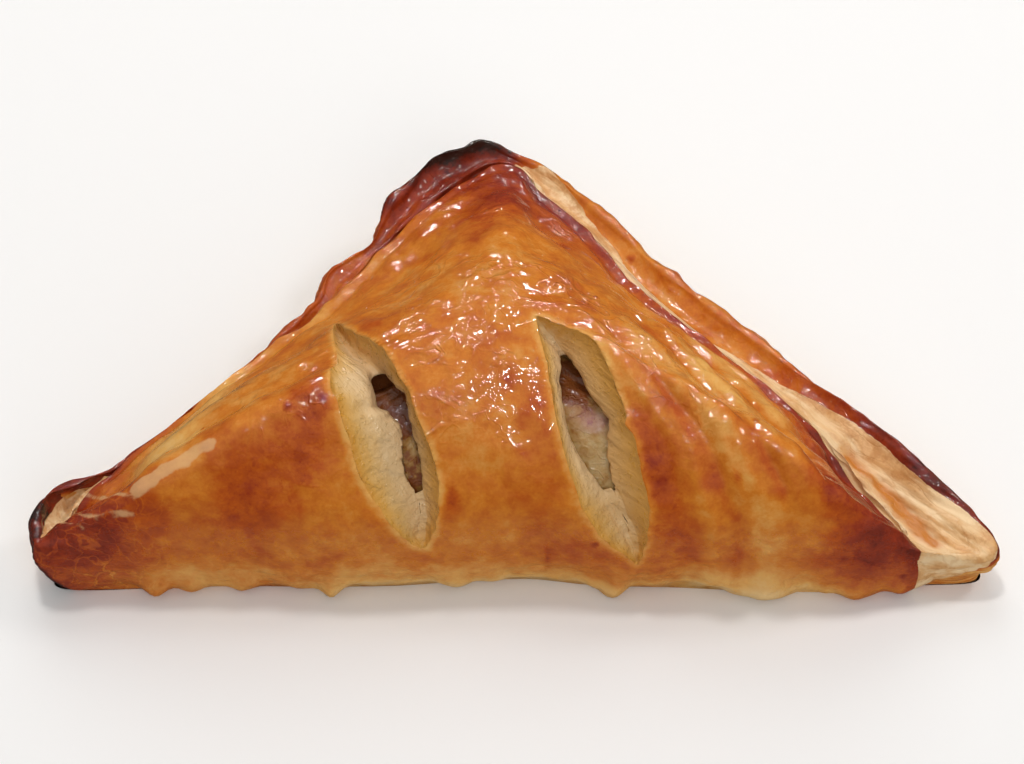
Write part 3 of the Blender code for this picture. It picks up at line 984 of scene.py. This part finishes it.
# %% [markdown]
# ## Where the oven browned it
# A turnover isn't one colour: it is darkest where it stood highest or thinnest, pale where a sheet was
# covered by the one above, and cream where it is torn or where the glaze missed it. Each point of the
# crust stores a few plain numbers: how baked it is from 0 to 1, with painted shade in the valleys of
# the pleats and painted light on their ridges, how far it lies inside the pale strip beside the lip,
# how far it lies from a slit's rim, how much glaze it has, and how tan a slit wall is, which is
# painted shade on walls that face left. Materials read them as attributes. Painting an image would
# give the same, but numbers stay sharp at any size and need no unwrapping.

# %% Oven marks
# x, y, reach and amount in millimetres: places that browned more, or less.
OVEN_MARKS = (
    (-2, 26, 9, 0.25), (5, 19, 7, 0.04), (22, -32, 7, 0.15), (25, -38, 7, 0.05),
    (-30, -24, 4.5, 0.15), (-32, -30, 5.0, 0.14), (-40, -33, 4.5, 0.15), (-47, -36, 6, 0.05),
    (-62, -38, 8, 0.24), (-70, -34, 7, 0.22), (50, -29, 6, 0.24), (55, -38, 7, 0.34),
    (46, -20, 5, 0.10), (-48, -14, 9, -0.15), (-52, -24, 4, -0.18), (-56, -27, 3, -0.14),
    (-46, -33, 4, -0.06), (35, -20, 6, -0.07), (30, -14, 5, -0.08), (-10, -2, 9, -0.05),
    (14, -3, 6, -0.04), (2, -24, 5, 0.08), (-5, -14, 5, 0.05),
)
# Small single specks and blisters.
SPECKS = (
    (-9.3, -34, 0.9, 0.22), (5, -37, 0.6, 0.20), (1.5, -30, 1.1, 0.14), (-0.8, -21.5, 1.2, 0.12),
    (20.5, -31, 0.8, 0.12), (-46, -29, 0.8, 0.18), (-37, -22, 0.7, 0.16), (33, -33, 0.5, 0.22),
    (47, -30, 0.5, 0.22), (12, -34, 0.7, 0.14), (-6, 9, 0.8, 0.16), (8, 12, 0.7, 0.16),
)
# Places on the left shoulder where the glaze missed the dough or split: a line and its half width.
BARE_PLACES = (
    (((-56.5, -32.6), (-52.0, -31.0), (-48.5, -29.6), (-45.5, -28.6)), 1.2),
    (((-65.5, -26.5), (-63.0, -28.6), (-60.5, -31.5), (-57.7, -33.2)), 0.45),
    (((-66.5, -31.5), (-65.2, -33.6), (-63.0, -34.6), (-60.0, -34.5), (-57.0, -34.9)), 0.25),
    (((-69.0, -33.0), (-67.3, -34.6), (-65.0, -35.4)), 0.20),
)
# Where the glaze cracked finely, at the two corners.
CRACKED = ((-63, -38, 10, 0.9), (-69, -33, 8, 0.6), (56, -39, 6, 0.2))
# Where the skin of glaze dried in wrinkles.
CRINKLED = (
    (-24, 6, 2.4, 0.8), (-16, 2, 2.8, 0.9), (-14, -7, 2.6, 0.9), (-11, 6, 2.6, 0.8),
    (-12, -17, 2.6, 1.0), (-8, -15, 2.0, 0.8), (-6, 1, 2.4, 1.0), (-2, -3, 2.6, 1.0),
    (2, -8, 2.4, 1.0), (-4, -11, 2.2, 0.8), (-1, -18, 2.6, 1.0), (4, 3, 2.2, 1.0),
    (7, -3, 2.6, 0.9), (11, -6, 2.6, 0.9), (15, -9, 2.6, 1.0), (19, -16, 3.4, 1.0),
    (22, -22, 2.6, 0.9), (26, -17, 2.6, 0.9), (29, -23, 3.2, 0.8), (34, -16, 3.2, 0.6),
    (-3, 18, 2.6, 0.9), (8, 18, 3.0, 0.9), (-11, -27, 2.4, 0.5), (-31, -24, 2.4, 0.8),
    (-47, -14, 2.4, 0.7), (-40, -20, 2.0, 0.6),
)
print("oven marks", len(OVEN_MARKS), "specks", len(SPECKS), "wrinkled places", len(CRINKLED))


# %% Facts carried from the uncut skin
def store(mesh, name, values):
    mesh.attributes.new(name, "FLOAT", "POINT").data.foreach_set("value", np.asarray(values, np.float32))


def tree_of(points):
    tree = KDTree(len(points))
    for k, point in enumerate(points):
        tree.insert(point, k)
    tree.balance()
    return tree


def carried_facts(points):
    """The facts of the uncut skin's nearest point, and how deep each point lies under that skin."""
    tree = tree_of(uncut_points)
    near = np.array([tree.find(point)[1] for point in points])
    surface = BVHTree.FromPolygons(uncut_points.tolist(), body_faces)
    depth = np.array([surface.find_nearest(point)[3] for point in points])
    return body_facts[near], depth


def slit_distance(mesh, points, depth):
    """Millimetres below the skin in a slit; on the skin, minus the distance to the nearest rim."""
    on_skin = depth < 0.02 * MM
    ends = np.array([edge.vertices[:] for edge in mesh.edges])
    crossing = on_skin[ends[:, 0]] != on_skin[ends[:, 1]]
    rim = np.unique(ends[crossing][on_skin[ends[crossing]]])
    tree = tree_of(points[rim])
    away = np.array([tree.find(point)[2] for point in points])
    return np.where(on_skin, -np.minimum(away, 20 * MM), depth) / MM


crust_points = points_of(pastry.data)
crust_facts, crust_depth = carried_facts(crust_points)
crust_slit = slit_distance(pastry.data, crust_points, crust_depth)
print("points in the slits and the hollow", int((crust_slit > 0).sum()))


# %% Baking
PLAIN_BAKE, DARKEST_DOME, UNDERSIDE_BAKE = 0.43, 0.76, 0.52


def crust_bake(points, facts):
    """How baked the crust is, from 0 for raw dough to 1 for burnt, with painted shade in the pleats' valleys
    and painted light on their ridges.
    """
    angle, place, past_lip, past_rim, _ = facts.T
    past_lip, past_rim = past_lip / MM, past_rim / MM
    x, _, z = points.T / MM
    degrees, leg = facing_degrees(angle), leg_share(angle)
    lip_bake, strip_bake = (read_table(BAKE_TABLE, degrees, column) for column in (1, 2))

    band = 5.0 + 6.0 * hump(degrees, -16, 17) + 2.5 * hump(degrees, 88, 12)
    dome = PLAIN_BAKE + spots(points, OVEN_MARKS) + spots(points, SPECKS)
    dome += (lip_bake - PLAIN_BAKE) * smooth(past_lip, -band, -1.6) * smooth(leg, 0.05, 0.7)
    # Pleat valleys are painted darker as shade and pleat ridges lighter as if lit.
    dome -= 0.11 * pleat_height(points) * smooth(-past_lip, 3, 8)
    foot = 0.16 * smooth(-z, -11, -5) + 0.15 * smooth(-z, -5.2, -2.8) * smooth(x, -36, -28)
    dome -= (foot + 0.12 * smooth(-z, -9, -3) * hump(x, 36, 9)) * (1 - leg)
    dome = np.minimum(dome, DARKEST_DOME + 0.02 * grain(points, 0.003))

    burnt_edge = 0.06 + 0.30 * hump(degrees, 103, 11)
    strip = strip_bake + burnt_edge * smooth(past_rim, -4.5, -1.0)
    bake = dome + (strip - dome) * smooth(past_lip, -0.1, 0.9)
    wall_bake = 0.17 + 0.16 * smooth(-z, -4.5, -1.0)
    burnt = smooth(strip_bake + burnt_edge, 0.82, 1.0) * smooth(z + 2.5 * grain(points, 0.006), 5, 14)
    bake += (wall_bake - bake) * smooth(past_rim, 0.6, 2.2) * leg * (1 - 0.85 * burnt)
    return bake + (UNDERSIDE_BAKE - bake) * smooth(place, 24.3, 25.0)


print("plain dough is baked", PLAIN_BAKE, "and the darkest dome", DARKEST_DOME)


# %% Pale strip, glaze and tears
# Which slit, station, millimetres across and down, reach and amount: a deep tear low in the left slit,
# and the wet lower end of the right one.
TAN_SPOTS = (("left", 106, 0.9, 1.8, 0.9, 1.6), ("right", 96, 1.0, 2.5, 3.6, 0.65))


def distance_in_slit(points, name, station, across, down):
    """Millimetres from a spot that lies beside and below a slit's line."""
    places, normals, sideways = frames[name]
    spot = places[station] + (sideways[station] * across - normals[station] * down) * MM
    return np.linalg.norm(points - spot, axis=1) / MM


def crust_numbers(points, normals, facts, slit):
    """The numbers that the crust's material reads."""
    angle, place, past_lip, past_rim, past_pale = facts.T
    past_lip, past_rim, past_pale = past_lip / MM, past_rim / MM, past_pale / MM
    degrees, leg, z = facing_degrees(angle), leg_share(angle), points[:, 2] / MM

    glaze = 0.45 + 0.55 * np.maximum(smooth(z, 13, 24), smooth(past_lip, -7, -2) * leg)
    glaze *= 1 - 0.85 * smooth(past_rim, -0.4, 1.0) * leg
    glaze *= (1 - 0.65 * smooth(-z, -11, -5) * (1 - leg)) * (1 - smooth(place, 24.3, 25.0))
    crinkle = np.minimum(0.10 + 0.12 * smooth(z, 24, 28) + spots(points, CRINKLED), 1) * smooth(z, 8, 18)
    # Slit walls that face left are painted darker and tan as shade; the tan spots below are the real colour
    # of a tear and of wet dough.
    tan = smooth(-normals[:, 0], -0.15, 0.45) * (slit > 0)
    for name, station, across, down, reach, amount in TAN_SPOTS:
        away = distance_in_slit(points, name, station, across, down)
        tan = np.maximum(tan, amount * hump(away, 0, reach))
    bare = np.max([width - line_distance(points, line) for line, width in BARE_PLACES], axis=0)
    bare = np.clip(bare - 0.35 * grain(points, 0.0030, (3, 1, 4)), -2, 1)
    return {
        "bake": crust_bake(points, facts),
        "pale": np.where(leg < 0.02, -4, np.clip(np.minimum(past_lip, -past_pale), -4, 6)),
        "slit": slit,
        "glaze": glaze,
        "crinkle": np.maximum(crinkle, 0.3 * smooth(past_lip, -4, -1) * leg),
        "cracks": spots(points, CRACKED),
        "outer": smooth(past_rim, 0.6, 2.2) * leg,
        "split": split_depth(points) * smooth(past_lip, 0.2, 1.5) * leg,
        "bare": bare - 2 * smooth(-z, -12, -8),
        # From 45 to 72 degrees on, towards the apex and along the left leg, the pale strip is made browner,
        # partly as real browning and partly as painted shade.
        "near_rim": smooth(past_pale, -4.5, 0.0) * (past_pale < 0.6) + 1.2 * smooth(degrees, 45, 72),
        "tan": tan,
    }


crust_normals = normals_of(pastry.data)
for name, values in crust_numbers(crust_points, crust_normals, crust_facts, crust_slit).items():
    store(pastry.data, name, values)
    print(name, round(float(values.min()), 2), "to", round(float(values.max()), 2))

# %% [markdown]
# ## Building materials from nodes
# Everything from here to the filling is colour and gloss. Effects that several materials share are
# made once as node groups, each with a vector going in and a mask or a height coming out: mottling,
# blisters, wrinkles in the glaze, cracks, torn layers and streaks. Scales are in features for each
# metre, so 200 means something about 5 mm across.


# %% Number nodes
def calc(tree, operation, a, b=0.0, clamp=False):
    return add(tree, "Math", {0: a, 1: b}, operation=operation, use_clamp=clamp)


def times(tree, a, b, clamp=False):
    return calc(tree, "MULTIPLY", a, b, clamp)


def total(tree, *terms):
    """Adds up (value, weight) pairs."""
    result = 0.0
    for value, weight in terms:
        result = add(tree, "Math", {0: value, 1: weight, 2: result}, operation="MULTIPLY_ADD")
    return result


def between(tree, value, low, high, low_out=0.0, high_out=1.0):
    """Rises smoothly from low_out to high_out as value goes from low to high."""
    wires = {"Value": value, "From Min": low, "From Max": high, "To Min": low_out, "To Max": high_out}
    return add(tree, "MapRange", wires, interpolation_type="SMOOTHSTEP")


def blend(tree, share, first, second):
    """Number that goes from first to second."""
    return add(tree, "Mix", {0: share, 2: first, 3: second})


print("number nodes ready")


# %% Colour nodes
def tint(tree, share, first, second):
    """Colour that goes from first to second."""
    return add(tree, "Mix", {0: share, 6: first, 7: second}, data_type="RGBA").outputs[2]


def colour(red, green, blue):
    return (red, green, blue, 1)


def scale_of_colours(tree, value, stops):
    """A colour ramp through (position, red, green, blue) stops."""
    made = add(tree, "ValToRGB", {0: value})
    ramp = made.color_ramp
    while len(ramp.elements) > 1:
        ramp.elements.remove(ramp.elements[-1])
    ramp.elements[0].position = stops[0][0]
    ramp.elements[0].color = colour(*stops[0][1:])
    for position, *shade in stops[1:]:
        ramp.elements.new(position).color = colour(*shade)
    return made.outputs["Color"]


print("colour nodes ready")


# %% Textures and groups
def cloud(tree, place, scale, detail=2.0, **more):
    """Soft noise about a half."""
    return add(tree, "TexNoise", {"Vector": place, "Scale": scale, "Detail": detail, **more})


def warped(tree, place, scale, size):
    """The place pushed about by noise, by up to size."""
    push = cloud(tree, place, scale).outputs["Color"]
    middle = add(tree, "VectorMath", {0: push, 1: (0.5, 0.5, 0.5)}, operation="SUBTRACT")
    wide = add(tree, "VectorMath", {0: middle, "Scale": size}, operation="SCALE")
    return add(tree, "VectorMath", {0: place, 1: wide}, operation="ADD")


def make_group(name, build, result, **given):
    """A node group: a vector and these numbers go in, and what build makes of them comes out."""
    group = bpy.data.node_groups.new(name, "ShaderNodeTree")
    group.interface.new_socket("Vector", in_out="INPUT", socket_type="NodeSocketVector")
    for label, default in given.items():
        socket = group.interface.new_socket(label, in_out="INPUT", socket_type="NodeSocketFloat")
        socket.default_value = default
    group.interface.new_socket(result, in_out="OUTPUT", socket_type="NodeSocketFloat")
    entry = group.nodes.new("NodeGroupInput").outputs
    made = build(group, *(entry[label] for label in ("Vector", *given)))
    wire(group, group.nodes.new("NodeGroupOutput"), {result: made})
    print("group", name, "with", len(group.nodes), "nodes")
    return group


def use(tree, group, place, **values):
    """Puts a group into a material with its own values."""
    return add(tree, "Group", {"Vector": place, **values}, node_tree=group)


print("textures and groups ready")


# %% Group: mottling
def mottle(tree, place, scale):
    """Cloudy variation from 0 to 1 with finer variation inside it."""
    fine = cloud(tree, place, times(tree, scale, 4.3))
    return between(tree, total(tree, (cloud(tree, place, scale), 0.65), (fine, 0.35)), 0.32, 0.68)


MOTTLING = make_group("mottling", mottle, "Mask", Scale=100.0)


# %% Group: blisters
def blister(tree, place, scale, share):
    """Scattered small round dots, and the dome height of each."""
    cells = add(tree, "TexVoronoi", {"Vector": warped(tree, place, 900.0, 0.0008), "Scale": scale})
    pick = add(tree, "SeparateColor", {"Color": cells.outputs["Color"]}).outputs
    chosen = calc(tree, "LESS_THAN", pick["Red"], share)
    size = between(tree, pick["Green"], 0.0, 1.0, 0.07, 0.17)
    inside = calc(tree, "SUBTRACT", 1.0, calc(tree, "DIVIDE", cells.outputs["Distance"], size), clamp=True)
    return times(tree, inside, chosen)


BLISTERS = make_group("blisters", blister, "Dots", Scale=200.0, Share=0.4)


# %% Group: wrinkles
def wrinkle(tree, place, scale):
    """Thin curved ridges, as in a skin of dried glaze, from 0 to 1."""
    plain = cloud(tree, warped(tree, place, 110.0, 0.006), scale, 1.5, Roughness=0.6)
    level = calc(tree, "ABSOLUTE", calc(tree, "SUBTRACT", plain, 0.5))
    return between(tree, level, 0.0, 0.055, 1.0, 0.0)


WRINKLES = make_group("wrinkles", wrinkle, "Height", Scale=150.0)


# %% Group: cracks
def crack(tree, place, scale, width):
    """A network of thin cracks, 1 in the crack."""
    where = warped(tree, warped(tree, place, 90.0, 0.008), 420.0, 0.003)
    cells = add(tree, "TexVoronoi", {"Vector": where, "Scale": scale}, feature="DISTANCE_TO_EDGE")
    wide = times(tree, width, between(tree, cloud(tree, place, 130.0), 0.48, 0.62))
    return between(tree, calc(tree, "SUBTRACT", cells, wide), -0.01, 0.05, 1.0, 0.0)


CRACKS = make_group("cracks", crack, "Mask", Scale=300.0, Width=0.06)


# %% Group: torn layers
def layer(tree, place, spacing):
    """Thin bent sheets stacked upwards: 0 in the gaps and 1 on the sheets."""
    bent = warped(tree, warped(tree, place, 120.0, 0.0045), 600.0, 0.0008)
    turns = calc(tree, "DIVIDE", add(tree, "SeparateXYZ", {0: bent}).outputs["Z"], spacing)
    wave = calc(tree, "SINE", times(tree, turns, 6.2832))
    return between(tree, total(tree, (wave, 0.5), (cloud(tree, place, 700.0, 1.0), 1.2)), 0.15, 1.05)


LAYERS = make_group("layers", layer, "Sheets", Spacing=0.0009)


# %% Group: streaks
def streaked(tree, place, stretch):
    """The place turned to run along the right leg and drawn out that way; smaller is longer."""
    turned = add(tree, "VectorRotate", {"Vector": place, "Angle": 0.75}, rotation_type="Z_AXIS")
    parts = add(tree, "SeparateXYZ", {0: turned}).outputs
    return add(tree, "CombineXYZ", {"X": times(tree, parts["X"], stretch), "Y": parts["Y"], "Z": parts["Z"]})


def streak(tree, place, scale, stretch):
    """Streaks that run along the right leg. Stretch is how much slower they change lengthways."""
    where = warped(tree, streaked(tree, place, stretch), 150.0, 0.0025)
    return between(tree, cloud(tree, where, scale, 3.0), 0.36, 0.66)


STREAKS = make_group("streaks", streak, "Mask", Scale=400.0, Stretch=0.2)

# %% [markdown]
# ## Glazed crust
# The colour starts as one scale from raw dough to burnt, read by the baked number (which also carries
# painted shade and light along the pleats) plus mottling, so that every tone on the crust comes from
# the same few colours. The pale strips and the torn walls of the slits are laid over it, the walls
# that face left in a painted shade of tan. The glaze is a thin shiny skin: a low roughness, and fine
# wrinkles in the bump that break the lamp's reflection into short sparkles. A separate clear coat
# would ignore the bump and shine like varnish.

# %% Crust colours
# Position on the scale, then red, green and blue.
BAKED = (
    (0.00, 0.84, 0.56, 0.24),
    (0.20, 0.78, 0.41, 0.105),
    (0.40, 0.64, 0.200, 0.020),
    (0.56, 0.48, 0.090, 0.009),
    (0.72, 0.30, 0.035, 0.009),
    (0.86, 0.17, 0.018, 0.007),
    (1.00, 0.032, 0.014, 0.010),
)
TORN = (
    (0.00, 0.60, 0.27, 0.035),
    (0.07, 0.62, 0.32, 0.060),
    (0.16, 0.64, 0.38, 0.12),
    (0.32, 0.70, 0.48, 0.24),
    (0.60, 0.70, 0.49, 0.27),
    (0.85, 0.52, 0.31, 0.14),
    (1.00, 0.34, 0.17, 0.06),
)
print("from raw dough to burnt in", len(BAKED), "colours, torn dough in", len(TORN))


# %% Crust patterns
def new_material(name):
    """A material, its node tree and the place on the object, in metres."""
    material = bpy.data.materials.new(name)
    tree = with_nodes(material)
    return material, tree, add(tree, "TexCoord").outputs["Object"]


def stored(tree, name):
    return add(tree, "Attribute", attribute_name=name).outputs["Fac"]


def crust_patterns(tree, place):
    """What the crust's colours, gloss and bump share: stored numbers, groups and masks."""
    names = ("bake", "pale", "slit", "glaze", "crinkle", "outer", "split", "tan", "near_rim", "bare")
    crust = SimpleNamespace(place=place, **{name: stored(tree, name) for name in names})
    crust.clouds = use(tree, MOTTLING, place, Scale=75.0)
    crust.speckle = use(tree, MOTTLING, place, Scale=520.0)
    crust.haze = use(tree, MOTTLING, place, Scale=260.0)
    crust.dots = use(tree, BLISTERS, place, Scale=170.0, Share=0.30)
    crust.sheets = use(tree, LAYERS, place, Spacing=0.0010)
    crust.streaks = use(tree, STREAKS, place, Scale=420.0, Stretch=0.16)
    crust.plates = use(tree, CRACKS, streaked(tree, place, 0.45), Scale=300.0, Width=0.03)
    network = use(tree, CRACKS, place, Scale=300.0, Width=0.03)
    crust.cracked = times(tree, network, stored(tree, "cracks"), clamp=True)
    crust.edge = cloud(tree, place, 420.0, 3.0)
    crust.inside = between(tree, crust.slit, -0.03, 0.06)
    pale_edge = total(tree, (crust.pale, 1.0), (crust.edge, 1.3), (1.0, -0.65))
    crust.pale_mask = between(tree, pale_edge, -0.08, 0.16)
    crust.wet = times(tree, between(tree, cloud(tree, place, 1100.0, 1.0), 0.56, 0.64), crust.inside)
    shine = times(tree, crust.glaze, calc(tree, "SUBTRACT", 1.0, crust.inside))
    crust.shine = times(tree, shine, between(tree, crust.pale_mask, 0.0, 1.0, 1.0, 0.25))
    return crust


print("pattern helpers ready")


# %% Colour of the skin, the pale strips and the torn walls
def skin_colour(tree, crust):
    """Dough under the glaze, with the places that the glaze missed."""
    patches = use(tree, MOTTLING, crust.place, Scale=190.0)
    near_slit = times(tree, between(tree, crust.slit, -1.5, 0.0), -0.17)
    clouding = ((crust.clouds, 0.15), (patches, 0.08), (crust.speckle, 0.09), (crust.dots, 0.26))
    clouding = total(tree, *clouding, (1.0, -0.15))
    depth = total(tree, (crust.bake, 1.0), (clouding, 1.0), (near_slit, 1.0), (crust.cracked, -0.13))
    depth = total(tree, (depth, 1.0), (crust.outer, 0.03), (times(tree, crust.sheets, crust.outer), -0.12))
    grains = between(tree, cloud(tree, crust.place, 1250.0), 0.55, 0.68)
    pepper = times(tree, grains, between(tree, crust.bake, 0.42, 0.60))
    baked = scale_of_colours(tree, total(tree, (depth, 1.0), (pepper, 0.05)), BAKED)
    missed = total(tree, (crust.bare, 1.0), (crust.edge, 1.6), (1.0, -0.85))
    missed = between(tree, missed, -0.15, 0.30, 0.0, 0.62)
    return tint(tree, missed, baked, colour(0.76, 0.47, 0.22))


def cream_colour(tree, crust):
    """Pale dough that lay covered: streaked, lightly browned and towards the apex painted with shade,
    cracked into plates and split.
    """
    cream = tint(tree, crust.streaks, colour(0.85, 0.61, 0.34), colour(0.73, 0.41, 0.16))
    # near_rim browns the pale strip by the rim, and towards the apex it also paints shade into it.
    browning_and_shade = total(tree, (crust.speckle, 0.6), (crust.streaks, 0.5), (crust.near_rim, 0.22))
    browned = between(tree, browning_and_shade, 0.66, 1.15, 0.0, 0.7)
    cream = tint(tree, browned, cream, colour(0.58, 0.27, 0.085))
    cream = tint(tree, times(tree, crust.plates, 0.20), cream, colour(0.55, 0.22, 0.05))
    return tint(tree, times(tree, crust.split, 1.5, clamp=True), cream, colour(0.56, 0.20, 0.03))


def torn_colour(tree, crust):
    """Dough in the slits, browner at the rim and deep down; darker tan on walls facing left as painted
    shade, and tan at a tear and at wet dough.
    """
    threads = cloud(tree, crust.place, 900.0)
    depth = total(tree, (crust.slit, 0.115), (crust.clouds, 0.10), (threads, 0.08), (1.0, -0.07))
    # The tan mix is painted shade on walls that face left, and real colour at the tear and the wet end.
    side = times(tree, crust.tan, between(tree, crust.slit, 0.5, 4.5, 0.9, 0.45))
    return tint(tree, side, scale_of_colours(tree, depth, TORN), colour(0.60, 0.29, 0.055))


def crust_colour(tree, crust):
    body = tint(tree, crust.pale_mask, skin_colour(tree, crust), cream_colour(tree, crust))
    return tint(tree, crust.inside, body, torn_colour(tree, crust))


print("colour helpers ready")


# %% Gloss and bump
def crust_roughness(tree, crust):
    glossy = between(tree, crust.haze, 0.0, 1.0, 0.03, 0.07)
    dull = between(tree, crust.speckle, 0.0, 1.0, 0.45, 0.62)
    return blend(tree, crust.shine, blend(tree, crust.wet, dull, 0.14), glossy)


def crust_bump(tree, crust):
    """Wrinkles and blisters under the glaze; sheets, streaks and cracks where the dough is dry."""
    wrinkles = use(tree, WRINKLES, crust.place, Scale=115.0)
    creases = use(tree, WRINKLES, crust.place, Scale=300.0)
    folded = times(tree, total(tree, (wrinkles, 0.17), (creases, 0.08)), crust.crinkle)
    fine = cloud(tree, crust.place, 1500.0, 1.0)
    glazed = total(tree, (folded, 1.0), (crust.dots, 0.16), (crust.haze, 0.05), (fine, 0.006))
    dry = ((crust.sheets, 0.02), (crust.speckle, 0.06), (crust.streaks, 0.22), (fine, 0.02))
    dry = total(tree, *dry, (crust.cracked, -0.08))
    dry = total(tree, (dry, 1.0), (crust.wet, 0.05), (times(tree, crust.plates, crust.pale_mask), -0.04))
    height = blend(tree, crust.shine, dry, glazed)
    return add(tree, "Bump", {"Strength": 1.0, "Distance": MM, "Height": height})


def glazed_crust():
    material, tree, place = new_material("glazed_crust")
    crust = crust_patterns(tree, place)
    finish = {"Base Color": crust_colour(tree, crust), "Roughness": crust_roughness(tree, crust)}
    finish |= {"Normal": crust_bump(tree, crust), "Specular IOR Level": 0.42}
    wire(tree, tree.nodes["Principled BSDF"], finish)
    return material


pastry.data.materials.clear()
pastry.data.materials.append(glazed_crust())
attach(pastry, "root")
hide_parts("pastry")
print("crust material has", len(pastry.data.materials[0].node_tree.nodes), "nodes")

# %% [markdown]
# ## Apple filling
# Cooked apple lies in the hollow under a wet gel. A lumpy pillow in the imported filling's place makes
# the gel, with soft-edged lumps where pieces of fruit lie under it. It sinks away below the upper end
# of each slit, where the slit looks into a gap, and there its colour is painted dark as shade.

# %% Shape of the filling
# Under the upper half of each slit's hole, where the gel sinks and is painted with shade: which slit,
# station and reach in millimetres.
DARK_PLACES = (("left", 43, 6.0), ("right", 24, 3.4))


def sink_and_shade(points):
    """1 where the gel sinks and is painted with shade under the slits' upper ends, a little more towards the
    left, falling to almost 0 elsewhere.
    """
    dark = np.zeros(len(points))
    for name, station, reach in DARK_PLACES:
        away = distance_in_slit(points, name, station, across=3.0, down=6.0)
        dark += 1 - smooth(away, reach - 2.4, reach + 2.4)
    return np.minimum(dark + 0.08 + 0.22 * smooth(-points[:, 0], 0.002, 0.008), 1)


def filling_relief(points):
    """Lumps of apple, always inwards, and the hollows below the slits, in metres."""
    lump = np.array([min(noise.voronoi(Vector(p) / 0.0085)[0][0], 1.0) for p in points]) ** 2
    ripple = 0.22 * MM * (grain(points, 0.0040) + 0.4 * grain(points, 0.0018))
    dip = 2.2 * MM * sink_and_shade(points)
    return -(1.3 * MM * lump + dip) * smooth(points[:, 2], 0.010, 0.018) + np.minimum(ripple, 0)


print("dark places", len(DARK_PLACES))

# %% Gel
# From dark gel in painted shade to pale fruit: position, red, green, blue.
GEL = ((0, 0.24, 0.070, 0.018), (0.18, 0.38, 0.18, 0.045), (0.55, 0.50, 0.315, 0.12), (1, 0.60, 0.45, 0.24))


def apple_gel():
    """Wet gel: amber and a little see-through, painted with shade where it sinks under the slits' upper
    ends, and a little darker towards the left.
    """
    material, tree, place = new_material("apple_gel")
    clouds = use(tree, MOTTLING, place, Scale=160.0)
    fine = use(tree, MOTTLING, place, Scale=500.0)
    # The stored dark mask takes painted shade off the gel's colour where it sinks under the slits.
    shade = total(tree, (clouds, 0.7), (fine, 0.3), (stored(tree, "dark"), -0.9))
    shade = calc(tree, "MAXIMUM", shade)
    wrinkles = use(tree, WRINKLES, place, Scale=420.0)
    height = total(tree, (wrinkles, 0.05), (fine, 0.05), (cloud(tree, place, 1100.0), 0.16))
    finish = {
        "Base Color": scale_of_colours(tree, shade, GEL),
        "Roughness": between(tree, fine, 0.0, 1.0, 0.04, 0.10),
        "Normal": add(tree, "Bump", {"Strength": 1.0, "Distance": MM, "Height": height}),
        "Subsurface Weight": 0.4,
        "Subsurface Radius": (1.0, 0.7, 0.3),
        "Subsurface Scale": 2.0 * MM,
    }
    wire(tree, tree.nodes["Principled BSDF"], finish)
    return material


print("gel runs through", len(GEL), "colours")

# %% Filling in its place
gel = pillow("apple_gel", sides=288, inset=0.5 * MM, sink=0.6 * MM)
gel_points = points_of(gel.data)
# The same mask is stored for the gel's painted shade.
store(gel.data, "dark", sink_and_shade(gel_points))
gel_points[:, 2] += filling_relief(gel_points)
move_points(gel.data, gel_points)
gel.data.materials.append(apple_gel())
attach(gel, "root")
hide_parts("apple_filling")
print("filling", len(gel.data.polygons), "faces")

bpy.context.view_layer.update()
